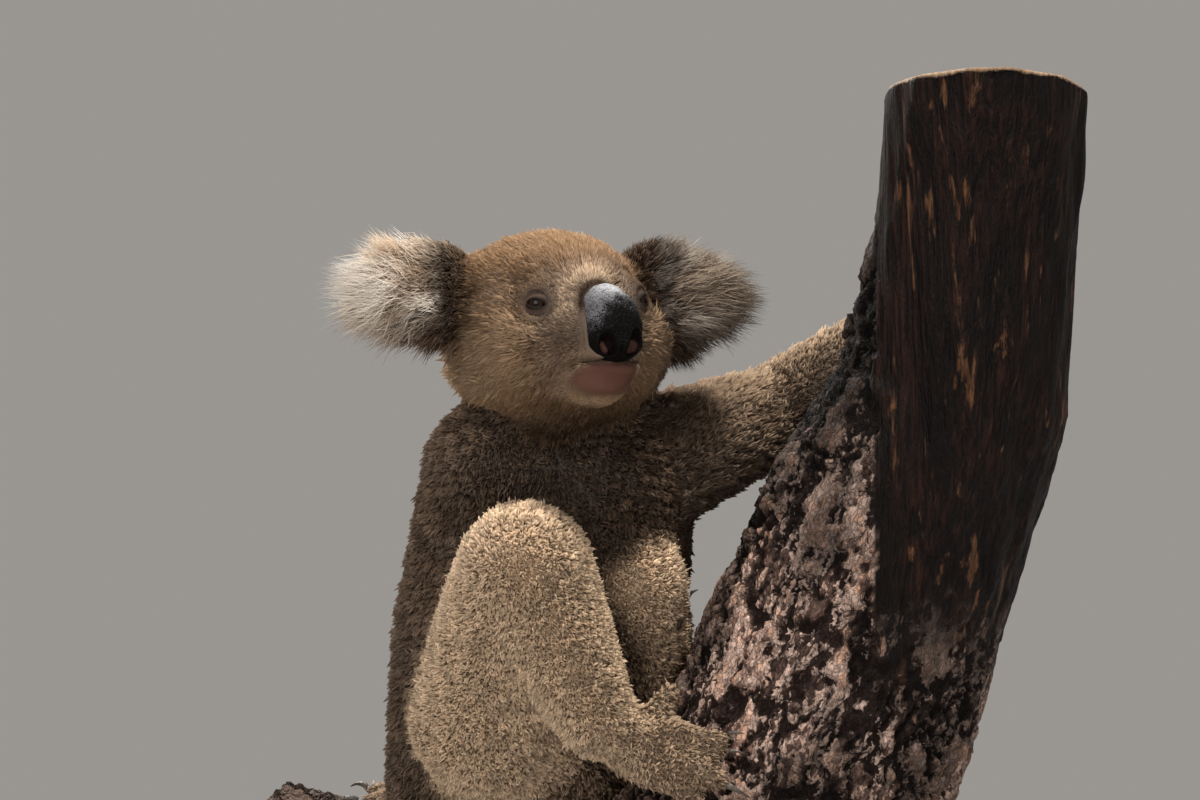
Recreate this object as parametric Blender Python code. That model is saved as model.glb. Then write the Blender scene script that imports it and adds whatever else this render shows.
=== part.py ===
"""A life-size koala sitting in the cut fork of a gum tree, on a plain display stand.

Metres, +Z up. The origin is the centre of the stand's underside. The koala faces -Y and a
little towards +X. Its left hand holds the upright stem and its right hand the side limb.
The animal is modelled whole, out to the tips of its fur, and then parted into named pieces.
"""
import math

import bmesh
import bpy
from mathutils import Matrix, Vector

# ---- driving dimensions ----
GAP = 0.0003            # clear space between neighbouring pieces
SHARE_EXTRA = 0.004     # how far a piece's share of the whole reaches past its own forms
ROOT_EXTRA = 0.005      # and a little more where a limb joins the trunk
BARK_GAP = 0.0004       # clear space between the animal and the tree
MM = 0.001

# The head: its middle, and how it is turned.
HEAD = Vector((-0.089, -0.069, 0.605))
HEAD_REACH = 0.088
HEAD_YAW = math.radians(26.5)       # to the animal's left
HEAD_PITCH = math.radians(3.0)      # nose up
HEAD_ROLL = math.radians(4.5)       # left ear up

# The trunk and its joints, with the fur's outer radius at each.
NECK, NECK_SIZE = Vector((-0.088, -0.012, 0.562)), 0.056
CHEST = Vector((-0.078, 0.014, 0.512))
BACK = Vector((-0.076, 0.044, 0.478))
BELLY = Vector((-0.087, 0.048, 0.427))
RUMP = Vector((-0.097, 0.078, 0.366))
WAIST = 0.45            # where the rump begins, from belly to rump
CHEST_YAW = math.radians(28)
BELLY_YAW = math.radians(42)
RUMP_YAW = math.radians(56)

SHOULDER_R, SHOULDER_R_SIZE = Vector((-0.126, -0.020, 0.522)), 0.044
ELBOW_R, ELBOW_R_SIZE = Vector((-0.155, 0.010, 0.425)), 0.034
WRIST_R, WRIST_R_SIZE = Vector((-0.172, 0.066, 0.340)), 0.024
SHOULDER_L, SHOULDER_L_SIZE = Vector((-0.030, 0.028, 0.532)), 0.044
ELBOW_L, ELBOW_L_SIZE = Vector((0.050, 0.090, 0.574)), 0.033
WRIST_L, WRIST_L_SIZE = Vector((0.140, 0.042, 0.628)), 0.024

HIP_R, HIP_R_SIZE = Vector((-0.124, 0.016, 0.376)), 0.056
KNEE_R, KNEE_R_SIZE = Vector((-0.104, -0.086, 0.452)), 0.042
ANKLE_R, ANKLE_R_SIZE = Vector((-0.061, -0.055, 0.364)), 0.026
HIP_L, HIP_L_SIZE = Vector((-0.066, 0.096, 0.380)), 0.052
KNEE_L, KNEE_L_SIZE = Vector((-0.038, 0.000, 0.454)), 0.034
ANKLE_L, ANKLE_L_SIZE = Vector((-0.034, 0.046, 0.374)), 0.025

# The tree: centre line and radius of the stem, and of the side limb.
STEM = [
    (Vector((0.006, 0.010, 0.100)), 0.092),
    (Vector((0.006, 0.012, 0.245)), 0.092),
    (Vector((0.048, 0.020, 0.310)), 0.095),
    (Vector((0.084, 0.012, 0.390)), 0.095),
    (Vector((0.120, -0.008, 0.492)), 0.087),
    (Vector((0.152, -0.030, 0.560)), 0.076),
    (Vector((0.166, -0.052, 0.650)), 0.067),
    (Vector((0.173, -0.072, 0.750)), 0.065),
]
LIMB = [
    (Vector((-0.015, 0.050, 0.240)), 0.068),
    (Vector((-0.100, 0.095, 0.245)), 0.060),
    (Vector((-0.186, 0.123, 0.270)), 0.056),
    (Vector((-0.285, 0.140, 0.305)), 0.052),
]
BARK_WAVE = 0.0016
STEM_TOP = 0.745
STEM_FOOT = 0.108
LIMB_END = Vector((-0.275, 0.138, 0.302))

# The stand.
BASE_LENGTH, BASE_WIDTH, BASE_HEIGHT = 0.44, 0.34, 0.020
BASE_EDGE = 0.003
ROD_RADIUS = 0.009
ROD_SPREAD = 0.045

# How finely the pieces are meshed.
BODY_CELL = 0.003
WHOLE_FACES = 3700      # while the head is at its finest
BODY_FACES = 1750       # once the rest has been thinned further
CUT_FACES = 84
FINE_CELL = 0.0016
EAR_CELL = 0.0022
BARK_CELL = 0.004
SHARE_CELL = 0.004
PAW_FACES = 180
EAR_FACES = 170
NOSE_FACES = 200
STEM_FACES = 580
LIMB_FACES = 230

UP = Vector((0, 0, 1))
TOWARDS = Vector((0, -1, 0))


# ---- small modelling tools ----
def clear_scene():
    for thing in list(bpy.data.objects):
        bpy.data.objects.remove(thing, do_unlink=True)


def new_object(name, mesh):
    thing = bpy.data.objects.new(name, mesh)
    bpy.context.scene.collection.objects.link(thing)
    return thing


def settle(thing):
    """Apply the object's modifiers."""
    bpy.context.view_layer.update()
    depsgraph = bpy.context.evaluated_depsgraph_get()
    mesh = bpy.data.meshes.new_from_object(thing.evaluated_get(depsgraph))
    thing.modifiers.clear()
    thing.data = mesh
    return thing


def duplicate(thing, name):
    return new_object(name, thing.data.copy())


def discard(thing):
    bpy.data.objects.remove(thing, do_unlink=True)


def unit_ball(fineness):
    """Directions spread evenly over a ball."""
    shell = bmesh.new()
    bmesh.ops.create_icosphere(shell, subdivisions=fineness, radius=1.0)
    directions = [vert.co.copy() for vert in shell.verts]
    shell.free()
    return directions


DIRECTIONS = unit_ball(3)


def ball(centre, radii, turn=Matrix.Identity(3)):
    """Points on an ellipsoid."""
    if not hasattr(radii, "__len__"):
        radii = (radii, radii, radii)
    return [centre + turn @ Vector((d.x * radii[0], d.y * radii[1], d.z * radii[2]))
            for d in DIRECTIONS]


def chain(joints, extra=0.0, root_extra=0.0):
    """Tapered rounded links from joint to joint, as one point cloud each."""
    links = []
    for (start, start_size), (end, end_size) in zip(joints, joints[1:]):
        links.append(ball(start, start_size + extra + root_extra) + ball(end, end_size + extra))
        root_extra = 0.0
    return links


def hulls(name, clouds):
    """One object holding the convex hull of each cloud of points."""
    shell = bmesh.new()
    for cloud in clouds:
        verts = [shell.verts.new(point) for point in cloud]
        result = bmesh.ops.convex_hull(shell, input=verts, use_existing_faces=False)
        inner = set(result["geom_interior"]) | set(result["geom_unused"])
        bmesh.ops.delete(shell, geom=[v for v in inner if v.is_valid], context="VERTS")
    bmesh.ops.recalc_face_normals(shell, faces=shell.faces)
    mesh = bpy.data.meshes.new(name)
    shell.to_mesh(mesh)
    shell.free()
    return new_object(name, mesh)


def thin_out(thing, faces, group=""):
    """Reduce the mesh to about this many triangles."""
    mesh = thing.data
    now = sum(len(polygon.vertices) - 2 for polygon in mesh.polygons)
    fewer = thing.modifiers.new("Fewer faces", "DECIMATE")
    fewer.ratio = min(1.0, faces / now)
    fewer.use_collapse_triangulate = True
    fewer.vertex_group = group
    return settle(thing)


def solid(name, clouds, cell, rounds, faces=0):
    """Melt the clouds into one smooth closed body."""
    thing = hulls(name, clouds)
    melt = thing.modifiers.new("Melt", "REMESH")
    melt.mode = "VOXEL"
    melt.voxel_size = cell
    calm = thing.modifiers.new("Calm", "SMOOTH")
    calm.factor = 0.5
    calm.iterations = rounds
    settle(thing)
    if faces:
        thin_out(thing, faces)
    return thing


def swell(thing, distance):
    """A copy pushed outwards along its normals."""
    bigger = duplicate(thing, thing.name + " swollen")
    push = bigger.modifiers.new("Push", "DISPLACE")
    push.mid_level = 0.0
    push.strength = distance
    return settle(bigger)


def biggest_part(thing):
    """Keep only the largest closed body."""
    shell = bmesh.new()
    shell.from_mesh(thing.data)
    waiting = set(shell.verts)
    islands = []
    while waiting:
        seed = waiting.pop()
        island, edge_of_island = {seed}, [seed]
        while edge_of_island:
            vert = edge_of_island.pop()
            for edge in vert.link_edges:
                other = edge.other_vert(vert)
                if other in waiting:
                    waiting.discard(other)
                    island.add(other)
                    edge_of_island.append(other)
        islands.append(island)

    def size(island):
        low = [min(v.co[axis] for v in island) for axis in range(3)]
        high = [max(v.co[axis] for v in island) for axis in range(3)]
        return (Vector(high) - Vector(low)).length

    keep = max(islands, key=size)
    loose = [vert for vert in shell.verts if vert not in keep]
    bmesh.ops.delete(shell, geom=loose, context="VERTS")
    bmesh.ops.triangulate(shell, faces=shell.faces)
    shell.to_mesh(thing.data)
    shell.free()
    return thing


def combine(thing, other, operation):
    join = thing.modifiers.new(operation.title(), "BOOLEAN")
    join.operation = operation
    join.solver = "EXACT"
    join.object = other
    flat = thing.modifiers.new("Merge flat faces", "DECIMATE")
    flat.decimate_type = "DISSOLVE"
    flat.angle_limit = math.radians(1.6)
    return settle(thing)


def near(thing, other):
    """Whether the two objects' boxes meet."""
    for axis in range(3):
        mine = [vert.co[axis] for vert in thing.data.vertices]
        yours = [vert.co[axis] for vert in other.data.vertices]
        if min(mine) > max(yours) + BARK_GAP or min(yours) > max(mine) + BARK_GAP:
            return False
    return True


def cut_away(thing, others, gap=GAP):
    """Remove from a piece all that lies within the gap of the others."""
    for other in others:
        if near(thing, other):
            cutter = swell(other, gap)
            combine(thing, cutter, "DIFFERENCE")
            discard(cutter)
            biggest_part(thing)
    return thing


def part_off(whole, name, clouds):
    """Take the share of the whole inside these clouds as a new piece, with a gap left behind."""
    share = solid(name + " share", clouds, SHARE_CELL, 4, CUT_FACES)
    piece = duplicate(whole, name)
    combine(piece, share, "INTERSECT")
    biggest_part(piece)
    cut_away(whole, [share])
    discard(share)
    return piece


def saw_off(thing, point, normal):
    """Cut flat across, removing the side the normal points to, and close the cut."""
    shell = bmesh.new()
    shell.from_mesh(thing.data)
    geometry = shell.verts[:] + shell.edges[:] + shell.faces[:]
    bmesh.ops.bisect_plane(shell, geom=geometry, dist=1e-6, plane_co=point, plane_no=normal,
                           clear_outer=True)
    rims = [edge for edge in shell.edges if edge.is_boundary]
    bmesh.ops.holes_fill(shell, edges=rims, sides=0)
    bmesh.ops.triangulate(shell, faces=shell.faces)
    bmesh.ops.recalc_face_normals(shell, faces=shell.faces)
    shell.to_mesh(thing.data)
    shell.free()
    return thing


def split(piece, point, normal, near_name, far_name):
    """Part a piece across a plane: the far side is the one the normal points to."""
    halves = []
    for name, facing in ((near_name, normal.normalized()), (far_name, -normal.normalized())):
        half = duplicate(piece, name)
        saw_off(half, point - facing * GAP / 2, facing)
        halves.append(biggest_part(half))
    discard(piece)
    return halves


def paint(thing, material, smooth=True):
    thing.data.materials.clear()
    thing.data.materials.append(material)
    if smooth:
        thing.data.shade_smooth()
    return thing


def make_material(name, colour, roughness, metallic=0.0):
    material = bpy.data.materials.new(name)
    material.use_nodes = True
    shader = material.node_tree.nodes["Principled BSDF"]
    shader.inputs["Base Color"].default_value = (*colour, 1.0)
    shader.inputs["Roughness"].default_value = roughness
    shader.inputs["Metallic"].default_value = metallic
    material.diffuse_color = (*colour, 1.0)
    return material


# ---- frames ----
def head_frame():
    """Columns: forward, left, up. A point in this frame is in metres from the head's middle."""
    forward = Vector((math.sin(HEAD_YAW) * math.cos(HEAD_PITCH),
                      -math.cos(HEAD_YAW) * math.cos(HEAD_PITCH),
                      math.sin(HEAD_PITCH)))
    left = UP.cross(forward).normalized()
    left = Matrix.Rotation(HEAD_ROLL, 3, forward) @ left
    above = forward.cross(left)
    return Matrix((forward, left, above)).transposed()


HEAD_TURN = head_frame()


def in_head(forward, left, above):
    """A place in the head, from millimetres along its own directions."""
    return HEAD + HEAD_TURN @ (Vector((forward, left, above)) * MM)


def head_ball(place, radii, tilt=0.0):
    """An ellipsoid in the head, its front tilted down by this many degrees."""
    turn = HEAD_TURN @ Matrix.Rotation(math.radians(tilt), 3, "Y")
    return ball(in_head(*place), [radius * MM for radius in radii], turn)


def trunk_ball(centre, radii, yaw, lean=0.0):
    """An ellipsoid in the trunk: half width, half depth, half height."""
    turn = Matrix.Rotation(yaw, 3, "Z") @ Matrix.Rotation(math.radians(lean), 3, "X")
    return ball(centre, radii, turn)


# ---- the animal's forms ----
def head_forms():
    forms = [
        head_ball((-8, 0, 10), (58, 59, 45)),        # brain case
        head_ball((20, 0, 14), (38, 42, 33)),        # brow
        head_ball((-38, 0, -14), (38, 46, 44)),      # nape
        head_ball((46, 0, -26), (32, 28, 31)),       # muzzle
        head_ball((42, 0, -2), (30, 19, 21)),        # bridge of the nose
        head_ball((49, 0, -53), (24, 20, 14)),       # chin
        head_ball((5, 0, -44), (40, 36, 26)),        # throat
    ]
    for side in (1, -1):
        forms += [
            head_ball((6, side * 34, -20), (46, 34, 39)),     # cheek
            head_ball((14, side * 26, -38), (36, 30, 26)),    # jowl
            head_ball((58, side * 12, -42), (18, 14, 12)),    # upper lip
            head_ball((-8, side * 48, 22), (20, 18, 19)),     # root of the ear
        ]
    return forms


def head_shares():
    """The head's own share of the whole: its forms, a little larger all round."""
    grown = []
    for cloud in head_forms():
        middle = sum(cloud, Vector()) / len(cloud)
        grown.append([point + (point - middle).normalized() * SHARE_EXTRA for point in cloud])
    return grown


def trunk_forms():
    return [
        ball(NECK, NECK_SIZE),
        trunk_ball(CHEST, (0.076, 0.070, 0.084), CHEST_YAW, 14),
        trunk_ball(BACK, (0.078, 0.064, 0.092), CHEST_YAW, 14),
        trunk_ball(BELLY, (0.087, 0.086, 0.087), BELLY_YAW, 14),
        trunk_ball(RUMP, (0.093, 0.086, 0.067), RUMP_YAW),
    ]


ARM_R = [(SHOULDER_R, SHOULDER_R_SIZE), (ELBOW_R, ELBOW_R_SIZE), (WRIST_R, WRIST_R_SIZE)]
ARM_L = [(SHOULDER_L, SHOULDER_L_SIZE), (ELBOW_L, ELBOW_L_SIZE), (WRIST_L, WRIST_L_SIZE)]
LEG_R = [(HIP_R, HIP_R_SIZE), (KNEE_R, KNEE_R_SIZE), (ANKLE_R, ANKLE_R_SIZE)]
LEG_L = [(HIP_L, HIP_L_SIZE), (KNEE_L, KNEE_L_SIZE), (ANKLE_L, ANKLE_L_SIZE)]
LIMBS = {
    "arm_right": (ARM_R, "upper", "fore"),
    "arm_left": (ARM_L, "upper", "fore"),
    "leg_right": (LEG_R, "thigh", "shin"),
    "leg_left": (LEG_L, "thigh", "shin"),
}


def make_whole():
    """Head, trunk and limbs as one smooth body, with the head left finest."""
    clouds = head_forms() + trunk_forms()
    for joints, _, _ in LIMBS.values():
        clouds += chain(joints)
    whole = solid("whole", clouds, BODY_CELL, 9)
    thin_out(whole, WHOLE_FACES)
    group = whole.vertex_groups.new(name="body")
    body = [v.index for v in whole.data.vertices if (v.co - HEAD).length > HEAD_REACH]
    group.add(body, 1.0, "REPLACE")
    return thin_out(whole, BODY_FACES, "body")


# ---- paws ----
def bark_place(line, along, angle, height):
    """A place on a round stretch of tree: along it, round it from its -Y side, and off it."""
    (start, start_size), (end, end_size) = line
    axis = (end - start).normalized()
    size = start_size + (end_size - start_size) * along / (end - start).length
    front = (TOWARDS - axis * TOWARDS.dot(axis)).normalized()
    side = axis.cross(front)
    outward = front * math.cos(angle) + side * math.sin(angle)
    return start + axis * along + outward * (size + height)


PALM_THICKNESS = 0.0105     # half the palm's thickness, in its fur
DIGIT_TAPER = 0.22
DIGIT_ARCH = 0.003
ALONG_DIGIT = (0.0, 0.35, 0.7, 1.0)         # where a digit's and a claw's joints are
FINGER_ROOT, THUMB_ROOT = 0.85, 0.45        # where they leave the palm, in palm lengths
WIDEST_TURN = 40                            # past this turn, in degrees, a digit is a thumb
HEEL_SWELL, HEEL_PULL, FRONT_PULL = 1.15, 0.7, 0.8
CLAW_TAPER = 0.15           # a claw's root radius for its length
CLAW_LIFT, CLAW_HOOK = 0.22, 0.30
CLAW_TIP_HEIGHT = 0.0012
CLAW_SUNK = 0.45            # how deep a claw's root sits in its digit, in digit radii
CLAW_POINT = 0.06           # how blunt a claw's tip is
CLAW_ARCH = 2.6             # how far round its bow a claw runs, in radians


class Paw:
    """A palm and its digits laid over a round stretch of tree.

    The heading is the angle of the palm's middle line on the bark: 0 runs round the tree and
    90 degrees runs along it. Each digit is (turn from the heading, length, radius, claw).
    """

    def __init__(self, line, along, angle, heading, digits, palm=0.020, width=0.015, sense=1):
        self.line = line
        self.along = along
        self.angle = math.radians(angle)
        self.heading = math.radians(heading)
        self.digits = digits
        self.palm = palm
        self.width = width
        self.sense = sense

    def place(self, distance, turn, height, aside=0.0):
        """A point this far out from the palm's middle, in a direction on the bark."""
        direction = self.heading + math.radians(turn)
        step_round = distance * math.cos(direction) - aside * math.sin(direction)
        step_along = distance * math.sin(direction) + aside * math.cos(direction)
        radius = self.line[0][1]
        angle = self.angle + self.sense * step_round / (radius + height)
        return bark_place(self.line, self.along + step_along, angle, height)

    def palm_clouds(self):
        clouds = []
        for aside in (-self.width, self.width):
            heel = self.place(-self.palm, 0, PALM_THICKNESS * HEEL_SWELL, aside * HEEL_PULL)
            front = self.place(self.palm * FRONT_PULL, 0, PALM_THICKNESS, aside)
            clouds.append(ball(heel, PALM_THICKNESS * HEEL_SWELL) + ball(front, PALM_THICKNESS))
        middle = self.place(0, 0, PALM_THICKNESS * HEEL_SWELL)
        clouds.append(ball(middle, (self.palm, self.palm, PALM_THICKNESS), self.flat_turn(middle)))
        return clouds

    def flat_turn(self, middle):
        """A frame whose Z stands off the bark at the palm."""
        foot = bark_place(self.line, self.along, self.angle, 0.0)
        outward = (middle - foot).normalized()
        return UP.rotation_difference(outward).to_matrix()

    def root(self, turn):
        """Where a digit leaves the palm."""
        return self.palm * (FINGER_ROOT if abs(turn) < WIDEST_TURN else THUMB_ROOT)

    def digit_clouds(self):
        clouds = []
        for turn, length, radius, _ in self.digits:
            start = self.root(turn)
            joints = []
            for share in ALONG_DIGIT:
                arch = math.sin(share * math.pi) * DIGIT_ARCH
                size = radius * (1.0 - DIGIT_TAPER * share)
                joints.append((self.place(start + length * share, turn, size + arch), size))
            clouds += chain(joints)
        return clouds

    def claw_joints(self):
        """For each clawed digit, points and radii along its claw, root to tip."""
        claws = []
        for turn, length, radius, claw in self.digits:
            tip_size = radius * (1.0 - DIGIT_TAPER)
            start = self.root(turn) + length + tip_size * CLAW_SUNK
            joints = []
            for share in ALONG_DIGIT:
                bow = CLAW_LIFT * math.sin(share * CLAW_ARCH) - CLAW_HOOK * share ** 2
                height = max(tip_size * HEEL_SWELL + claw * bow, CLAW_TIP_HEIGHT)
                joints.append((self.place(start + claw * share, turn, height),
                               claw * CLAW_TAPER * (1.0 + CLAW_POINT - share)))
            if claw:
                claws.append(joints)
        return claws


def claw_mesh(name, joints, sides=5):
    """A curved claw: rings round its centre line, closed by a tip and a root."""
    shell = bmesh.new()
    points = [point for point, _ in joints]
    rings = []
    for index, (point, radius) in enumerate(joints[:-1]):
        ahead = (points[index + 1] - points[max(index - 1, 0)]).normalized()
        side = ahead.cross(UP).normalized()
        above = side.cross(ahead)
        ring = []
        for corner in range(sides):
            angle = math.tau * corner / sides
            offset = side * (0.72 * math.cos(angle)) + above * math.sin(angle)
            ring.append(shell.verts.new(point + offset * radius))
        rings.append(ring)
    for near, far in zip(rings, rings[1:]):
        for corner in range(sides):
            follow = (corner + 1) % sides
            shell.faces.new((near[corner], near[follow], far[follow], far[corner]))
    tip = shell.verts.new(points[-1])
    for corner in range(sides):
        shell.faces.new((rings[-1][corner], rings[-1][(corner + 1) % sides], tip))
    shell.faces.new(rings[0][::-1])
    bmesh.ops.triangulate(shell, faces=shell.faces)
    bmesh.ops.recalc_face_normals(shell, faces=shell.faces)
    mesh = bpy.data.meshes.new(name)
    shell.to_mesh(mesh)
    shell.free()
    return new_object(name, mesh)


HAND_CLAW = 0.019
FOOT_CLAW = 0.021
SMALL_CLAW = 0.013
HAND_DIGITS = [      # turn, length, radius, claw: two thumbs, then three fingers
    (112, 0.026, 0.0085, HAND_CLAW), (72, 0.031, 0.0088, HAND_CLAW),
    (24, 0.035, 0.0088, HAND_CLAW), (0, 0.037, 0.0090, HAND_CLAW), (-24, 0.032, 0.0085, HAND_CLAW),
]
FOOT_DIGITS = [      # the clawless big toe, the two joined toes, then the outer two
    (105, 0.026, 0.0105, 0.0),
    (30, 0.028, 0.0074, SMALL_CLAW), (19, 0.029, 0.0074, SMALL_CLAW),
    (-1, 0.035, 0.0098, FOOT_CLAW), (-22, 0.031, 0.0094, FOOT_CLAW),
]
FOOT_MIRRORED = [(-turn, length, radius, claw) for turn, length, radius, claw in FOOT_DIGITS]

PAWS = {
    "hand_left": Paw((STEM[5], STEM[6]), 0.062, 174, 8, HAND_DIGITS, sense=-1),
    "hand_right": Paw((LIMB[1], LIMB[2]), 0.088, 66, 0, HAND_DIGITS),
    "foot_right": Paw((STEM[1], STEM[3]), 0.074, -52, 0, FOOT_DIGITS,
                      palm=0.024, width=0.014),
    "foot_left": Paw((STEM[2], STEM[3]), 0.052, -106, 32, FOOT_MIRRORED,
                     palm=0.022, width=0.014),
}


# ---- ears, eyes, nose ----
def ear_clouds(side, droop):
    """A broad fan of ear with its fringe, thin from front to back."""
    return [
        head_ball((0, side * 90, 20), (14, 42, 29)),
        head_ball((3, side * 108, 14), (13, 31, 26)),
        head_ball((1, side * 80, 33), (12, 30, 16)),
        head_ball((4, side * 86, 2 - droop * 0.4), (12, 28, 21)),
        head_ball((3, side * 88, 2 - droop), (10, 22, 19)),
    ]


LEFT_DROOP, RIGHT_DROOP = 13, 4      # how far the fringe hangs, in millimetres
EYE_RADIUS = 0.007
EYE_PLACE = (46.8, 33.5, 0.0)
NOSE_FORMS = [       # the big leathery pad: its top, its swollen front and its nostril end
    ((65, 0, -6), (12, 14, 13)),
    ((71, 0, -14), (14, 16.5, 15)),
    ((73, 0, -23), (15, 17.5, 15)),
    ((72, 0, -32), (14, 17.5, 13)),
]


def make_eye(name, side):
    bpy.ops.mesh.primitive_uv_sphere_add(segments=12, ring_count=8, radius=EYE_RADIUS)
    globe = bpy.context.object
    globe.name = name
    ahead, aside, above = EYE_PLACE
    globe.data.transform(Matrix.Translation(in_head(ahead, side * aside, above)))
    return globe


def make_nose():
    pad = [head_ball(place, radii) for place, radii in NOSE_FORMS]
    return solid("nose", pad, FINE_CELL, 8, NOSE_FACES)


def make_ear(name, side, droop):
    return solid(name, ear_clouds(side, droop), EAR_CELL, 5, EAR_FACES)


# ---- tree and stand ----
def rough_tree(name, joints, seed, faces):
    """Melted links with shallow waves of bark over them."""
    tree = solid(name, chain(joints), BARK_CELL, 5)
    for vert, normal in [(v, v.normal.copy()) for v in tree.data.vertices]:
        point = vert.co
        wave = (math.sin(point.x * 61 + seed) * math.sin(point.y * 53 + point.z * 17)
                + 0.6 * math.sin(point.z * 44 + point.x * 27 + seed * 2)
                + 0.5 * math.sin(point.x * 130 + point.y * 110 + point.z * 23))
        vert.co = point + normal * BARK_WAVE * (wave - 1.0)
    return thin_out(tree, faces)


def make_tree():
    stem = rough_tree("perch_stem", STEM, 1.0, STEM_FACES)
    saw_off(stem, Vector((0, 0, STEM_TOP)), UP)
    saw_off(stem, Vector((0, 0, STEM_FOOT)), -UP)
    limb = rough_tree("perch_limb", LIMB, 2.3, LIMB_FACES)
    saw_off(limb, LIMB_END, (LIMB[3][0] - LIMB[2][0]).normalized())
    cut_away(limb, [stem])
    return stem, limb


def make_stand():
    bpy.ops.mesh.primitive_cube_add(size=1)
    base = bpy.context.object
    base.name = "stand_base"
    base.data.transform(Matrix.Diagonal((BASE_LENGTH, BASE_WIDTH, BASE_HEIGHT, 1)))
    base.location = (0, 0, BASE_HEIGHT / 2)
    edge = base.modifiers.new("Eased edge", "BEVEL")
    edge.width = BASE_EDGE
    edge.segments = 2
    rods = []
    for index, side in enumerate((-1, 1), 1):
        height = STEM_FOOT - BASE_HEIGHT - 2 * GAP
        bpy.ops.mesh.primitive_cylinder_add(vertices=16, radius=ROD_RADIUS, depth=height)
        rod = bpy.context.object
        rod.name = f"stand_rod_{index}"
        rod.location = (side * ROD_SPREAD, STEM[0][0].y, BASE_HEIGHT + GAP + height / 2)
        rods.append(rod)
    return base, rods


# ---- build ----
def build():
    clear_scene()
    fur = make_material("koala fur", (0.30, 0.24, 0.18), 0.95)
    pad = make_material("nose skin", (0.035, 0.035, 0.040), 0.45)
    eye = make_material("eye", (0.045, 0.022, 0.012), 0.08)
    horn = make_material("claw horn", (0.035, 0.028, 0.022), 0.40)
    bark = make_material("bark", (0.10, 0.055, 0.040), 0.90)
    board = make_material("stand board", (0.72, 0.70, 0.66), 0.60)
    steel = make_material("stand steel", (0.55, 0.55, 0.56), 0.32, 1.0)

    stem, limb = make_tree()
    base, rods = make_stand()
    tree = [stem, limb]

    whole = make_whole()
    eyes = [make_eye("eye_left", 1), make_eye("eye_right", -1)]
    nose = make_nose()

    flesh = []
    for name, (joints, near, far) in LIMBS.items():
        limb_piece = part_off(whole, name, chain(joints, SHARE_EXTRA, ROOT_EXTRA))
        root, bend, tip = [place for place, _ in joints]
        across = (tip - bend).normalized() + (bend - root).normalized()
        flesh += split(limb_piece, bend, across, f"{name}_{near}", f"{name}_{far}")

    head = part_off(whole, "head", head_shares())
    cut_away(head, [nose] + eyes)
    neck = part_off(whole, "neck", [ball(NECK, NECK_SIZE + SHARE_EXTRA)])
    rump, torso = split(whole, BELLY.lerp(RUMP, WAIST), UP, "rump", "torso")
    flesh += [head, neck, torso, rump]

    ears = [make_ear("ear_left", 1, LEFT_DROOP), make_ear("ear_right", -1, RIGHT_DROOP)]
    for ear in ears:
        cut_away(ear, [head])

    for piece in flesh:
        cut_away(piece, tree, BARK_GAP)

    body = list(flesh)
    claws = []
    for name, paw in PAWS.items():
        hand = solid(name, paw.palm_clouds() + paw.digit_clouds(), FINE_CELL, 3, PAW_FACES)
        cut_away(hand, tree, BARK_GAP)
        cut_away(hand, body)
        numbers = [number for number, digit in enumerate(paw.digits, 1) if digit[3]]
        for number, joints in zip(numbers, paw.claw_joints()):
            claw = claw_mesh(f"claw_{name}_{number}", joints)
            cut_away(claw, [hand] + body)
            cut_away(claw, tree, BARK_GAP)
            claws.append(claw)
        flesh.append(hand)

    for piece in flesh + ears:
        paint(piece, fur)
    for globe in eyes:
        paint(globe, eye)
    paint(nose, pad)
    for claw in claws:
        paint(claw, horn)
    for piece in tree:
        paint(piece, bark)
    paint(base, board, smooth=False)
    for rod in rods:
        paint(rod, steel)
        rod.data.set_sharp_from_angle(angle=math.radians(40))


build()
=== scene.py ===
# %% [markdown]
# # A koala on a cut length of tree
# A museum shows a life-size animal in three layers: a carved form, a skin drawn over it, and a
# coat. This lesson builds the same layers over a plain solid model, which is loaded first and
# never changed.

# %% Load the solid model
import math

import bpy
import numpy as np
from mathutils import Matrix, Vector, kdtree, noise
from mathutils.bvhtree import BVHTree


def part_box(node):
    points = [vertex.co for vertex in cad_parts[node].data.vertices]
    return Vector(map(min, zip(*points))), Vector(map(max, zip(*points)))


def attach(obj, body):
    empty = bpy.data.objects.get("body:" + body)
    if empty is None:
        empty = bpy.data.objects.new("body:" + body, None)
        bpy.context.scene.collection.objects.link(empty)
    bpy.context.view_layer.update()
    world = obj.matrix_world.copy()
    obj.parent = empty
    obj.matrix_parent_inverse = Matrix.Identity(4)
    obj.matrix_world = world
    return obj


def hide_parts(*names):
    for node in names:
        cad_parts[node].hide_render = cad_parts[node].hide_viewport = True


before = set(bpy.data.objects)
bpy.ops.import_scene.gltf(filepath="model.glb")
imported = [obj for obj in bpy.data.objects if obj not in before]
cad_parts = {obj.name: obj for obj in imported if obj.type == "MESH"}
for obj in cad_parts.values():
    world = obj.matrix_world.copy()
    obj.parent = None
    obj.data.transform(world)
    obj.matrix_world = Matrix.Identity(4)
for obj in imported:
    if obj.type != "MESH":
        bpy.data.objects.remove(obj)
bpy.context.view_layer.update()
MM = 0.001

# %% [markdown]
# ## Small tools
# Every step needs the same few moves: take a mesh's points out as one array, put them back, copy
# a solid, run a modifier. Arrays are used because a skin of seventy thousand points is slow one
# by one.

# %% Tools for meshes
def deselect():
    for thing in bpy.context.selected_objects:
        thing.select_set(False)


def make_active(thing):
    deselect()
    thing.select_set(True)
    bpy.context.view_layer.objects.active = thing


def points_of(thing):
    flat = np.empty(len(thing.data.vertices) * 3)
    thing.data.vertices.foreach_get("co", flat)
    return flat.reshape(-1, 3)


def normals_of(thing):
    flat = np.empty(len(thing.data.vertices) * 3)
    thing.data.vertices.foreach_get("normal", flat)
    return flat.reshape(-1, 3)


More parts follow.
